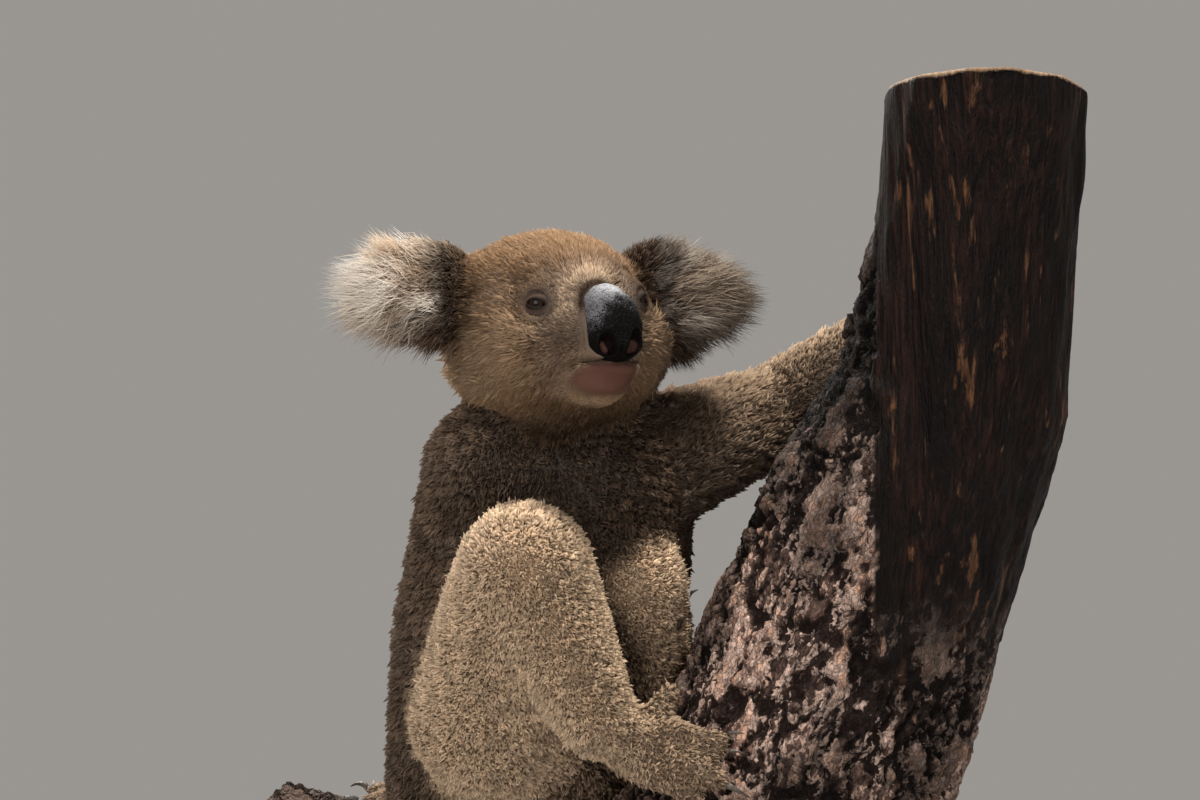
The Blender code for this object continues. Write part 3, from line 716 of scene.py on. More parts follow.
# %% Colours of skin and coat
UMBER, DEEP, CREAM = (0.200, 0.120, 0.069), (0.042, 0.022, 0.012), (0.80, 0.590, 0.405)
GINGER, ASH, WHITE = (0.30, 0.178, 0.092), (0.235, 0.172, 0.132), (0.90, 0.83, 0.75)
LID_GREY, CHIN_PINK, LIP_DARK = (0.064, 0.043, 0.034), (0.092, 0.031, 0.019), (0.026, 0.013, 0.010)


def coat_colour(finish, extra_pale=0.0):
    """The colour of the fur by the marks, before its roots are darkened."""
    patch = finish.noise(finish.place(), 26.0, 2.0)
    colour = finish.mix(patch.between(0.35, 0.7) * 0.3 + finish.mark("ash"), UMBER, ASH)
    colour = finish.mix(finish.mark("warm"), colour, GINGER)
    colour = finish.mix(finish.mark("pale") + extra_pale, colour, CREAM)
    return finish.mix(finish.mark("dark"), colour, DEEP)


def skin_finish():
    finish = Finish("koala_skin", Specular_IOR_Level=0.3)
    grain = finish.noise(finish.place(), 900.0, 3.0)
    wrinkle = finish.cells(finish.place(), 700.0, "DISTANCE_TO_EDGE")
    # Painted shade: the skin is made darker than the fur's colour, as the shade down among the
    # roots.
    under = finish.shade(coat_colour(finish), finish.mark("soft") * 0.28 + 0.42)
    under = finish.mix(finish.mark("bare_eye"), under, LID_GREY)
    chin = finish.mix(finish.noise(finish.place(), 160.0) * 0.7, CHIN_PINK, (0.074, 0.033, 0.023))
    under = finish.mix(finish.mark("bare_chin").between(0.0, 0.7), under, chin)
    under = finish.mix(finish.mark("lip") * 0.85, under, LIP_DARK)
    finish.feed("Base Color", finish.shade(under, grain * 0.4 + 0.8))
    finish.feed("Roughness", grain * 0.3 + 0.42)
    finish.bump(wrinkle * 0.6 + grain, 0.0005, 0.6)
    return finish.material


def coat_finish():
    finish = Finish("koala_coat", Roughness=0.8, Specular_IOR_Level=0.10)
    tip, strand, clump, cleft_shade = (finish.mark(name) for name in ("tip", "strand", "clump", "cleft_shade"))
    colour = coat_colour(finish, (tip - 0.6) * finish.mark("pale") * 0.5)
    soft = finish.mark("soft")
    # Roots darker than tips: partly the hair's own banding, partly painted shade deep in the coat.
    light = tip.between(0.0, 0.95) * (0.80 - soft * 0.36) + 0.26 + soft * 0.34
    salt = strand * (0.5 - soft * 0.2) + 0.75 + soft * 0.1
    patch = clump * 0.3 + 0.85
    # Painted shade: tufts near a lock's edge are made darker, as the shade in the clefts.
    colour = finish.shade(colour, light * salt * patch * (1 - cleft_shade * 0.55))
    frost = tip.between(0.7, 1.0) * strand.between(0.62, 0.95) * (0.32 - soft * 0.22)
    frost = frost + tip.between(0.15, 0.8) * finish.mark("white") * (clump * 1.3 + 0.1)
    finish.feed("Base Color", finish.mix(frost, colour, WHITE))
    return finish.material


skin_material, coat_material = skin_finish(), coat_finish()
print("nodes in the finishes:", [len(m.node_tree.nodes) for m in (skin_material, coat_material)])

# %% [markdown]
# The skin is unwrapped now, on its own shape. Each tuft later takes a tiny patch of that map at
# its root, so that a baked picture keeps every tuft's colour in its own place.

# %% Unwrapping and finishing the skin
make_active(skin)
bpy.ops.object.mode_set(mode="EDIT")
bpy.ops.mesh.select_all(action="SELECT")
bpy.ops.uv.smart_project(angle_limit=math.radians(66), island_margin=0.002)
bpy.ops.object.mode_set(mode="OBJECT")
skin.data.uv_layers[0].name = "OFBake"
place_piece(skin, skin_material, FLESH)

# %% [markdown]
# ## The eyes
# A koala's eye is a dark brown ball with an upright slit of a pupil and a wet, bulging front. A
# sphere is turned to look along the eye's own direction, with its pole drawn out a little for the
# cornea.

# %% Eyeballs
EYE_SIZE = 6.7
EYE_SUNK = 1.3                           # how far the ball and its lids sit back in the socket


def eye_axes(side):
    """The eye's outward, sideways and upward directions, in the head's frame."""
    out = EYE_AXIS[side]
    across = np.cross((0, 0, 1.0), out)
    across /= np.linalg.norm(across)
    return out, across, np.cross(out, across)


def around_eye(finish, side):
    """Inside a material: how far aside and how far above an eye's middle line a point is."""
    _, across, above = (head_vector(v) for v in eye_axes(side))
    spot = finish.node("VectorMath", {"operation": "SUBTRACT"},
                       {0: finish.place(), 1: from_head(EYE[side])[0]})
    return [finish.node("VectorMath", {"operation": "DOT_PRODUCT"}, {0: spot, 1: way}, "Value")
            for way in (across, above)]


def eye_finish(side):
    finish = Finish(f"eye_{side}_wet", Coat_Weight=0.15, Coat_Roughness=0.09,
                    Specular_IOR_Level=0.1)
    aside, high = around_eye(finish, side)
    away = (aside * aside + high * high) ** 0.5
    streak = finish.noise(finish.place(), 1500.0, 2.0, warp=1.5)
    iris = finish.mix(streak, (0.008, 0.0035, 0.0020), (0.026, 0.012, 0.007))
    iris = finish.mix(away.between(0.0034, 0.0050), iris, (0.006, 0.004, 0.003))
    slit = ((aside / 0.0015) ** 2 + (high / 0.0036) ** 2).between(1.3, 0.85)
    finish.feed("Base Color", finish.mix(slit, iris, (0.002, 0.0015, 0.0015)))
    finish.feed("Roughness", streak * 0.04 + 0.05)
    return finish.material


for side in ("right", "left"):
    deselect()
    bpy.ops.mesh.primitive_uv_sphere_add(segments=40, ring_count=28, radius=1)
    eyeball = bpy.context.object
    eyeball.name = f"eyeball_{side}"
    ball = points_of(eyeball)
    cornea = 1 + 0.07 * smoothstep(0.55, 0.95, ball[:, 2])
    out, across, above = eye_axes(side)
    turned = (ball[:, 2:] * out + ball[:, :1] * across + ball[:, 1:2] * above) * cornea[:, None]
    set_points(eyeball, from_head(EYE[side] + turned * EYE_SIZE - out * EYE_SUNK))
    place_piece(eyeball, eye_finish(side), [f"eye_{side}"])

# %% [markdown]
# Round each eye two thick grey lids leave an almond. They are one band of points that starts
# inside the opening, rolls over the lid's edge and sinks into the skin, so no joint is seen. Its
# height over the eye's middle is a ball's near the opening and the skin's own further out.

# %% Eyelids
LID_STEPS = 64
LID_WIDTH, LID_HEIGHT = 5.4, 2.35        # half the almond's width and height
LID_TILT = math.radians(15)              # how much the almond's outer end is lifted
LID_OUTER = 8.0                          # where the lids have sunk into the skin
LID_LEAST = 7.3                          # a lid nowhere sinks below a ball of this size
RAY_START = 14                           # how far out of the eye the skin's height is probed from
LID_ROWS = ((0.02, 6.0), (0.0, 6.95), (0.04, 7.4), (0.11, 7.75), (0.22, 7.85), (0.36, 7.85),
            (0.52, 7.85), (0.70, 7.85), (0.86, 7.85), (1.0, 7.85))     # how far out, how big a ball
skin_tree = BVHTree.FromPolygons([Vector(p) for p in SHAPE],
                                 [tuple(face.vertices) for face in skin.data.polygons])


def lid_ring(side):
    """Rings of points from inside the opening, over the lid's edge and down into the skin."""
    out, across, above = eye_axes(side)
    angle = np.linspace(0, 2 * math.pi, LID_STEPS, endpoint=False)
    tilt = LID_TILT * SIGN[side]
    x = LID_WIDTH * np.cos(angle)
    y = LID_HEIGHT * np.sign(np.sin(angle)) * np.abs(np.sin(angle)) ** 1.2
    x, y = x * math.cos(tilt) - y * math.sin(tilt), x * math.sin(tilt) + y * math.cos(tilt)
    near = np.hypot(x, y)
    ways = (x[:, None] * across + y[:, None] * above) / near[:, None]
    starts = EYE[side] + ways * LID_OUTER + out * RAY_START
    hits = [skin_tree.ray_cast(Vector(start), Vector(-out))[0] for start in starts]
    ground = np.array([(np.array(spot) - EYE[side]) @ out for spot in hits])
    rings = []
    for spread, size in LID_ROWS:
        far = near + (LID_OUTER - near) * spread
        dome = np.sqrt(np.maximum(size ** 2 - far ** 2, 0.0))
        sink = smoothstep(0.15, 0.95, spread)
        crease = 0.3 * np.exp(-((spread - 0.6) / 0.13) ** 2) * (np.sin(angle) > 0)
        high = (dome - EYE_SUNK) * (1 - sink) + (ground + 0.25) * sink - crease
        ball = np.sqrt(np.maximum(LID_LEAST ** 2 - far ** 2, 0)) - EYE_SUNK
        high = np.maximum(high, ball) - 0.9 * (spread == 1.0)
        rings.append(EYE[side] + high[:, None] * out + (x * far / near)[:, None] * across
                     + (y * far / near)[:, None] * above)
    rings.append(EYE[side] - out * 2 + (x * 0.9)[:, None] * across + (y * 0.9)[:, None] * above)
    return np.array(rings)


# %% Making the band and its finish
def closed_band(name, rings):
    """A ring-shaped band, closed both ways, as a mesh."""
    rows, steps = rings.shape[:2]
    faces = [(r * steps + s, r * steps + (s + 1) % steps, (r + 1) % rows * steps + (s + 1) % steps,
              (r + 1) % rows * steps + s) for r in range(rows) for s in range(steps)]
    mesh = bpy.data.meshes.new(name)
    mesh.from_pydata(from_head(rings.reshape(-1, 3)).tolist(), [], faces)
    piece = bpy.data.objects.new(name, mesh)
    bpy.context.scene.collection.objects.link(piece)
    make_active(piece)
    bpy.ops.object.mode_set(mode="EDIT")
    bpy.ops.mesh.select_all(action="SELECT")
    bpy.ops.mesh.normals_make_consistent(inside=False)
    bpy.ops.object.mode_set(mode="OBJECT")
    return modify(piece, "SUBSURF", levels=1, render_levels=1)


def lid_finish(side):
    finish = Finish(f"eyelid_{side}", Specular_IOR_Level=0.15)
    aside, high = around_eye(finish, side)
    away = ((aside / 1.25) ** 2 + (high * 1.25) ** 2) ** 0.5
    place = finish.place()
    grain = finish.noise(place, 1100.0, 3.0)
    fold = finish.cells(place, 900.0, "DISTANCE_TO_EDGE")
    skin_grey = finish.mix(grain, (0.046, 0.030, 0.024), (0.084, 0.056, 0.045))
    at_edge = away.between(0.0058, 0.0042)
    finish.feed("Base Color", finish.mix(at_edge, skin_grey, (0.010, 0.006, 0.005)))
    finish.feed("Roughness", grain * 0.25 + 0.50)
    finish.bump(fold + grain * 0.5, 0.0004, 0.6)
    return finish.material


for side in ("right", "left"):
    place_piece(closed_band(f"eyelids_{side}", lid_ring(side)), lid_finish(side))

# %% [markdown]
# ## Claws
# The claws grip the bark, so they stay where the solids have them. Rounded by a subdivision, they
# get a horn finish: near black, with faint streaks and worn, paler patches.

# %% Claws
def claw_finish():
    finish = Finish("claw_horn", Specular_IOR_Level=0.5)
    place = finish.place()
    streak = finish.noise(place, 420.0, 4.0, warp=0.6)
    worn = finish.noise(place, 70.0, 2.0).between(0.45, 0.75)
    colour = finish.mix(streak.between(0.3, 0.75), (0.018, 0.014, 0.012), (0.085, 0.062, 0.048))
    finish.feed("Base Color", finish.mix(worn * 0.35, colour, (0.22, 0.18, 0.14)))
    finish.feed("Roughness", streak * 0.25 + 0.25)
    finish.bump(streak, 0.0003, 0.5)
    return finish.material


claw_material = claw_finish()
for paw in ("hand_left", "hand_right", "foot_left", "foot_right"):
    nodes = sorted(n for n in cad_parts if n.startswith(f"claw_{paw}_"))
    claws = copy_solids(f"claws_{paw}", nodes)
    modify(claws, "SUBSURF", levels=2, render_levels=2)
    place_piece(claws, claw_material, nodes)

# %% [markdown]
# ## How the coat lies
# Hair on the face runs back from the nose, on the ears out from the root, on the limbs towards
# the paws and on the trunk down and back. Each point gets such a direction, blurred, with slow
# swirls from a noise so that no two patches lie quite the same. Then it is laid flat on the skin,
# but not on the ears: their hair stands straight out past the rim.

# %% Which way each limb runs
def middle_of(node):
    low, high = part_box(node)
    return np.array((low + high) / 2)


LIMB_WAYS = {}
for side in ("left", "right"):
    for top, end, paw in (("arm", "fore", "hand"), ("leg", "shin", "foot")):
        upper = "upper" if top == "arm" else "thigh"
        stages = [f"{top}_{side}_{upper}", f"{top}_{side}_{end}", f"{paw}_{side}"]
        places = [middle_of(s) for s in stages]
        for stage, way in zip(stages, (places[1] - places[0], places[2] - places[1],
                                       places[2] - places[1])):
            LIMB_WAYS[stage] = way / np.linalg.norm(way)
print({stage: way.round(1).tolist() for stage, way in LIMB_WAYS.items()})

# %% The lie of the coat
skin_points, skin_normals = points_of(skin), normals_of(skin)
from_pad = SHAPE - np.array((86, 0, -24))
from_pad /= np.linalg.norm(from_pad, axis=1)[:, None]
lie = np.tile(np.array((0.15, 0.35, -0.9)), (len(skin_points), 1))
for stage, way in LIMB_WAYS.items():
    lie[part_names == stage] = way
lie[part_names == "head"] = (from_pad @ AXES)[part_names == "head"]
for side, sign in SIGN.items():
    fan = SHAPE - np.array((-4, sign * 40, EAR_MIDDLE[sign] - 1))
    fan[:, 0] *= 0.3
    mine = part_names == f"ear_{side}"
    lie[mine] = (fan / np.linalg.norm(fan, axis=1)[:, None] @ AXES)[mine]
noise.seed_set(7)                        # without a seed its vectors would follow the clock
swirl = np.array([noise.noise_vector(Vector(p) * 22) for p in skin_points])
lie = blur(lie, 8) + 0.30 * swirl
fan_out = lie + 0.25 * skin_normals      # for the ears


def lay_flat(directions, normals):
    flat = directions - (directions * normals).sum(axis=1)[:, None] * normals
    return flat / np.maximum(np.linalg.norm(flat, axis=1), 1e-6)[:, None]


lie = lay_flat(lie, skin_normals)
print("mean slope of the lie:", lie.mean(axis=0).round(2))

# %% [markdown]
# ## Where the tufts stand
# Roots are spread evenly by throwing far too many points on the skin and keeping one in each cell
# of a fine grid. Close cells on the face, wider ones on the wool of the body.

# %% The skin's triangles
def triangle_indices(kind):
    flat = np.empty(len(skin.data.loop_triangles) * 3, np.int32)
    skin.data.loop_triangles.foreach_get(kind, flat)
    return flat.reshape(-1, 3)


skin.data.calc_loop_triangles()
tri_points, tri_loops = triangle_indices("vertices"), triangle_indices("loops")
skin_uv = np.empty(len(skin.data.loops) * 2)
skin.data.uv_layers["OFBake"].data.foreach_get("uv", skin_uv)
skin_uv = skin_uv.reshape(-1, 2)
a, b, c = (skin_points[tri_points[:, i]] for i in range(3))
tri_area = np.linalg.norm(np.cross(b - a, c - a), axis=1) / 2
print("skin area, square metres:", round(float(tri_area.sum()), 3))

# %% Scattering roots
luck = np.random.default_rng(7)
THROWS = 5                               # places thrown for each one that a cell could keep


CELL_MIX = (73856093, 19349663, 83492791)        # big primes, which turn a cell into one number


def first_in_cells(places, size):
    """Of all places, the first in each cell of a grid."""
    cell = np.floor(places / size).astype(np.int64) * CELL_MIX
    return np.unique(cell[:, 0] ^ cell[:, 1] ^ cell[:, 2], return_index=True)[1]


def carried(values, picked, share):
    """A field of the skin's points, read at scattered places."""
    corners_of = values[tri_points[picked]]
    weights = share if corners_of.ndim == 2 else share[:, :, None]
    return (corners_of * weights).sum(axis=1)


def scatter(chosen, spacing):
    """Even places on the chosen points' triangles: which triangle, and where in it."""
    inside = chosen[tri_points].mean(axis=1) > 0.5
    areas = np.where(inside, tri_area, 0)
    count = int(areas.sum() / spacing ** 2 * THROWS)
    picked = luck.choice(len(areas), count, p=areas / areas.sum())
    share = luck.random((count, 2))
    over = share.sum(axis=1) > 1
    share[over] = 1 - share[over]
    share = np.column_stack([1 - share.sum(axis=1), share])
    first = first_in_cells(carried(skin_points, picked, share), spacing)
    return picked[first], share[first]

# %% [markdown]
# ## One tuft
# A tuft is a closed, thin spike. The short one is a blade of six faces with one ridge point, and
# the long one, for the ears, a three-sided spike of ten that is bent once. Each point of a form
# is given by how far along the tuft it is, how far aside and above its middle line, and its place
# in the patch.

# %% Two forms of tuft
BLADE = {"faces": [(0, 1, 2), (1, 0, 3), (0, 4, 3), (1, 3, 4), (1, 4, 2), (2, 4, 0)],
         "along": (0, 0, 0, 0.55, 1), "aside": (-1, 1, 0, 0, 0), "above": (0.2, 0.2, -0.7, 0.45, 0),
         "spread": (0, 1, 0.5, 0.5, 0.5), "lift": (0, 0, 0.15, 0.5, 1)}
SPIKE = {"faces": [(0, 1, 2), (1, 0, 3), (1, 3, 4), (2, 1, 4), (2, 4, 5), (0, 2, 5), (0, 5, 3),
                   (3, 6, 4), (4, 6, 5), (5, 6, 3)],
         "along": (0, 0, 0, 0.5, 0.5, 0.5, 1), "aside": (-0.8, 0.8, 0, -1, 1, 0, 0),
         "above": (0.4, 0.4, -0.8, 0.5, 0.5, -1, 0), "spread": (0, 1, 0.5, 0, 1, 0.5, 0.5),
         "lift": (0, 0, 0.1, 0.5, 0.5, 0.6, 1)}
for name, form in (("blade", BLADE), ("spike", SPIKE)):
    print(name, "points:", len(form["along"]), "faces:", len(form["faces"]))

# %% [markdown]
# Tufts stand in locks. Inside a lock they lean together, and its edge is lower and painted darker
# as shade, so the wool shows as soft clumps with narrow clefts between. Each tuft asks for its two
# nearest lock middles: the nearest is its own lock, and where both are about as near it stands at
# the edge.

# %% Locks
def locks(places, size, squash):
    """Each tuft's lock: which one, the way to its middle, and how near its edge the tuft is."""
    spots = places * squash
    first = first_in_cells(spots + luck.random(3) * size, size)
    tree = kdtree.KDTree(len(first))
    for i, index in enumerate(first):
        tree.insert(spots[index], i)
    tree.balance()
    found = [tree.find_n(p, 2) for p in spots]
    lock = np.array([two[0][1] for two in found])
    edge = 1 - np.array([two[1][2] - two[0][2] for two in found]) / (0.8 * size)
    return lock, len(first), places[first[lock]] - places, np.clip(edge, 0, 1)

# %% [markdown]
# Two hundred thousand tufts are too many for a loop, so all tufts of a piece are worked out at
# once as arrays: their three stations, then every point of the form round those, then the
# triangles.

# %% From stations to a mesh
def tuft_points(form, roots, bend, tips, width, side):
    """Each form's points round the line that runs from a root through the bend to the tip."""
    slant = bend - roots
    slant /= np.linalg.norm(slant, axis=1)[:, None]
    side = side - (side * slant).sum(axis=1)[:, None] * slant
    side /= np.linalg.norm(side, axis=1)[:, None]
    over = np.cross(slant, side)
    middles = [roots if t == 0 else tips if t == 1 else bend for t in form["along"]]
    return np.stack([middle + width[:, None] * (x * side + y * over)
                     for middle, x, y in zip(middles, form["aside"], form["above"])], axis=1)


def triangle_piece(name, points, faces):
    """A new piece from arrays of points and triangles."""
    mesh = bpy.data.meshes.new(name)
    mesh.vertices.add(len(points))
    mesh.vertices.foreach_set("co", points.ravel())
    mesh.loops.add(faces.size)
    mesh.loops.foreach_set("vertex_index", faces.ravel().astype(np.int32))
    mesh.polygons.add(len(faces))
    mesh.polygons.foreach_set("loop_start", np.arange(0, faces.size, 3, dtype=np.int32))
    mesh.update(calc_edges=True)
    piece = bpy.data.objects.new(name, mesh)
    bpy.context.scene.collection.objects.link(piece)
    return piece

# %% [markdown]
# A style says how a part's tufts grow: their height off the skin, how far they reach along it,
# their width, the size of their locks and how strongly a lock gathers, curls and is pillowed.
# Each tuft varies by luck, and a few are wild: longer, thinner, and out of their lock. The marks
# of the root go onto the tuft, and its patch on the unwrap is laid at the root's place.

# %% Growing a coat piece
PATCH = 0.003                            # a tuft's patch on the unwrap
ROOT_DEPTH = 0.0008                      # how far under the skin a tuft starts


def grow(name, picked, share, style):
    """One mesh of tufts on the scattered places. Lengths in the style are in metres."""
    form = style.get("form", BLADE)
    places = carried(skin_points, picked, share)
    count = len(places)
    rises = carried(skin_normals, picked, share)
    rises /= np.linalg.norm(rises, axis=1)[:, None]
    lock, lock_count, pull, edge = locks(places, style["lock"], style.get("squash", (1, 1, 1)))
    own_way = luck.normal(size=(lock_count, 3))[lock] * style["curl"]
    stray = style["stray"] * luck.normal(size=(count, 3))
    ways = carried(style.get("ways", lie), picked, share) + own_way + stray
    if "ways" in style:
        lies = ways / np.linalg.norm(ways, axis=1)[:, None]
    else:
        lies = lay_flat(ways, rises)
    wild = luck.random(count) < style["wild"]

    def each_own(what, least, most, when_wild):
        """A length of the style at each tuft, varied by luck and for the wild ones."""
        return carried(style[what], picked, share) * luck.uniform(least, most, count) * (
            1 + when_wild * wild)

    height = each_own("height", 0.84, 1.06, 0.3)
    height *= 1 - style["pillow"] * edge ** 3
    reach = each_own("reach", 0.7, 1.15, 0.15)
    width = each_own("width", 0.75, 1.2, -0.45)
    side = np.cross(style.get("plane", rises), lies)
    gather = pull * (style["gather"] * edge * (1 - wild))[:, None]
    curl = side * (luck.normal(size=count) * 0.12 * reach)[:, None]
    roots = places - rises * ROOT_DEPTH
    half = style.get("half", 0.52 + 0.20 * smoothstep(1.7, 0.9, reach / height))
    bend = places + rises * (height * half)[:, None] + lies * (reach * 0.42)[:, None]
    bend = bend + gather * 0.5 + curl
    tips = places + rises * height[:, None] + lies * reach[:, None] + gather
    tips[:, 2] -= style.get("droop", 0.0) * reach
    points = tuft_points(form, roots, bend, tips, width, side)
    size = len(form["along"])
    faces = (np.array(form["faces"])[None] + size * np.arange(count)[:, None, None]).reshape(-1, 3)
    piece = triangle_piece(name, points.reshape(-1, 3), faces)
    set_mark(piece, "tip", np.tile(form["along"], count))
    # The cleft mark carries that painted shade at the locks' edges.
    for mark, values in (("strand", luck.random(count)), ("clump", luck.random(lock_count)[lock]),
                         ("cleft_shade", edge ** 3 * style["pillow"] * 2)):
        set_mark(piece, mark, np.repeat(np.clip(values, 0, 1), size))
    for mark in ("pale", "warm", "dark", "ash", "white", "soft"):
        set_mark(piece, mark, np.repeat(carried(marks[mark], picked, share), size))
    spot = (skin_uv[tri_loops[picked]] * share[:, :, None]).sum(axis=1)
    patch = spot[:, None] + PATCH * (np.column_stack([form["spread"], form["lift"]]) - 0.5)[None]
    unwrap = piece.data.uv_layers.new(name="OFBake")
    unwrap.data.foreach_set("uv", patch.reshape(-1, 2)[faces.ravel()].ravel().astype(np.float32))
    return place_piece(piece, coat_material)

# %% [markdown]
# A part of the coat is scattered as a whole and thinned where it is bald. A part with too many
# tufts for one piece is cut into slices along an axis, so that each slice stays whole and close
# together.

# %% Growing a part of the coat
FULL_PIECE = 195000                      # the most triangles in one piece


def coat(name, chosen, spacing, style, axis=(0, 0, 1.0)):
    """Grows one part of the coat, in as many pieces as keep each below its limit."""
    picked, share = scatter(chosen.astype(float), spacing)
    keep = luck.random(len(picked)) < carried(style.get("cover", plain), picked, share)
    picked, share = picked[keep], share[keep]
    places = carried(skin_points, picked, share)
    triangle_count = len(picked) * len(style.get("form", BLADE)["faces"])
    parts = math.ceil(triangle_count / FULL_PIECE)
    order = np.argsort(places @ np.array(axis))
    for number, chunk in enumerate(np.array_split(order, parts), 1):
        grow(f"{name}_{number}" if parts > 1 else name, picked[chunk], share[chunk], style)
    return triangle_count

# %% [markdown]
# ## The coat, part by part
# The height of the coat is nearly the depth that the skin was drawn in by, so the tips end where
# the solids do. The face's hair is short, fine and close, plush on the crown, longer on the ruff
# of the cheeks, and kept off the bare skin, the pad and the eyes.

# %% The head's coat
TALL = blur(depth, 3) * MM
plain = np.ones(len(SHAPE))
covered = 1 - np.clip(1.15 * marks["bare_chin"] + 0.9 * marks["lip"], 0, 1)
covered *= np.clip((to_pad - 0.6) * 2, 0, 1) * (eye_gap > 6.4)
velvet = np.clip(smoothstep(16, 9, eye_gap) + smoothstep(1.6, 1.0, chin_oval) * below_mouth
                 + smoothstep(7, 2, to_pad), 0, 1)       # where the fur gets shortest
ruff = smoothstep(40, 56, aside) * smoothstep(14, -10, u) * smoothstep(-62, -40, u)
by_muzzle = np.clip(bump_at(SHAPE, (66, 0, -22), (34, 38, 38)) * 1.3, 0, 1)
HEAD_COAT = {
    "height": TALL * 0.95 * (1 - 0.70 * velvet),
    "reach": (TALL * 1.05 + 0.0012) * (1 - 0.62 * velvet) + 0.006 * by_ear + 0.010 * ruff,
    "width": 0.00030 - 0.00008 * by_muzzle, "lock": 0.0034, "gather": 0.02, "curl": 0.14,
    "stray": 0.26, "pillow": 0.10, "cover": covered, "wild": 0.04}
coat_triangles = coat("coat_head", part_names == "head", 0.00076, HEAD_COAT, axis=tuple(AXES[1]))

# %% [markdown]
# The ears carry a long thin fringe of bent spikes that grows longer towards the rim and shorter
# at its top and foot. It droops a little, and each spike's flat side is kept across the view of
# the face.

# %% The ears' fringe
fringe = ear_reach * smoothstep(54, 88, aside) * (0.45 + 0.55 * smoothstep(-16, 20, u))
fringe *= (1 - 0.4 * smoothstep(4, 22, above_ear)) * (1 - 0.12 * (l > 0))
EAR_COAT = {
    "form": SPIKE, "height": 0.0048 * plain, "reach": 0.008 + 0.032 * fringe,
    "width": 0.00026 + 0.00008 * ear_reach, "lock": 0.0052, "gather": 0.5, "curl": 0.14,
    "stray": 0.15, "pillow": 0.2, "droop": 0.10, "wild": 0.0, "ways": fan_out, "plane": AXES[0]}
for side in ("left", "right"):
    coat_triangles += coat(f"coat_ear_{side}", part_names == f"ear_{side}", 0.00064, EAR_COAT)

# %% [markdown]
# Body and limbs have dense wool in locks, which stands up and then bends over: longest and most
# curled on the trunk, closer and finer on the legs, sleeker towards the paws. A limb's style is
# the wool's with a few numbers changed.

# %% Wool of the body and limbs
WOOL = {"height": TALL * 0.97, "reach": TALL * 0.55, "width": 0.00036 * plain, "lock": 0.0095,
        "gather": 0.42, "curl": 0.30, "stray": 0.70, "pillow": 0.62, "half": 0.80, "wild": 0.05,
        "squash": (0.85, 0.85, 1.3)}
ARM = dict(WOOL, reach=TALL * 0.80, stray=0.45, pillow=0.50, half=0.74, gather=0.30)
LEG = dict(WOOL, reach=TALL * 0.50, curl=0.15, stray=1.2, pillow=0.42, lock=0.0070, half=0.84,
           gather=0.24)
PAW = dict(WOOL, reach=TALL * 1.2 + 0.001, lock=0.003, gather=0.3, curl=0.2)
WOOLLY_PARTS = (("coat_chest", ("torso", "neck"), WOOL, 0.00150),
                ("coat_arm_left", ("arm_left",), ARM, 0.00146),
                ("coat_arm_right", ("arm_right",), ARM, 0.00144),
                ("coat_leg_left", ("leg_left",), LEG, 0.00144),
                ("coat_leg_right", ("leg_right",), LEG, 0.00131),
                ("coat_rump", ("rump",), WOOL, 0.00158),
                ("coat_paws", ("hand_", "foot_"), PAW, 0.00150))
for name, starts, style, spacing in WOOLLY_PARTS:
    coat_triangles += coat(name, is_part(*starts) > 0.5, spacing, style)
print("coat triangles:", coat_triangles)

# %% [markdown]
# ## The tree
# A stringybark's stem: ragged flakes of bark with dark pits on the sloping side, and beside it a
# strip where the bark has gone and dark, fibrous wood shows. A flake is a cell of a stretched
# scatter of points. Each has its own height, big flakes carry small ones, and everything is
# pressed inwards.

# %% Flakes and ripples
def plates(points, size, seed):
    """How close each point is to the border between two cells, and its own cell's number."""
    spread = np.random.default_rng(seed)
    low, high = points.min(axis=0) / size - 2, points.max(axis=0) / size + 2
    grid = np.stack(np.meshgrid(*(np.arange(a, b) for a, b in zip(low, high)), indexing="ij"), -1)
    seeds = grid.reshape(-1, 3) + spread.uniform(-0.5, 0.5, (grid.size // 3, 3))
    tree = kdtree.KDTree(len(seeds))
    for i, seed_point in enumerate(seeds):
        tree.insert(seed_point, i)
    tree.balance()
    found = [tree.find_n(p, 2) for p in points / size]
    border = np.array([two[1][2] - two[0][2] for two in found])
    which = np.array([two[0][1] for two in found])
    return border, spread.random(len(seeds))[which]


def ripple(points, scale):
    """Soft waves round 0, with two finer sets on them."""
    return np.array([noise.fractal(Vector(p) * scale, 1.0, 2.0, 3) for p in points])


def ridges(points, scale):
    """Sharp-crested waves, about 0 to 1."""
    return np.array([noise.ridged_multi_fractal(Vector(p) * scale, 0.9, 2.1, 5, 1.0, 2.0)
                     for p in points]) / 2.2


# %% Where the bark ends
BARK_CELL = 0.0026
BARK_PRESS = 0.0068                      # the deepest pits
STEM_TOP, STEM_FOOT = (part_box("perch_stem")[i].z for i in (1, 0))
STEM_HEART = (0.172, -0.068, 0)          # a point on the line through the middle of the stem's top
STEM_LEAN = math.radians(24)             # the slope that the stem's flakes follow
STEM_ALONG = np.array((math.sin(STEM_LEAN), 0, math.cos(STEM_LEAN)))
LIMB_END, LIMB_WAY = np.array((-0.275, 0.138, 0.302)), np.array((-0.97, 0.17, 0.20))


def stem_ends(places):
    return places[:, 2] > STEM_TOP - 0.0012, places[:, 2] < STEM_FOOT + 0.0012


def limb_ends(places):
    return ((places - LIMB_END) @ LIMB_WAY > -0.0035,)


def stem_strip(places, grit):
    """Where the bark is gone from the stem: a ragged strip beside the slope."""
    edge = 0.101 + 0.004 * np.array([noise.noise(Vector((0, 0, z * 38))) for z in places[:, 2]])
    low = smoothstep(0.36, 0.44, places[:, 2] + 0.02 * grit)
    return smoothstep(-0.0015, 0.0015, places[:, 0] - edge + 0.002 * grit) * low * (
        places[:, 1] < 0.02 + 0.02 * grit)


def no_strip(places, grit):
    return np.zeros(len(places))


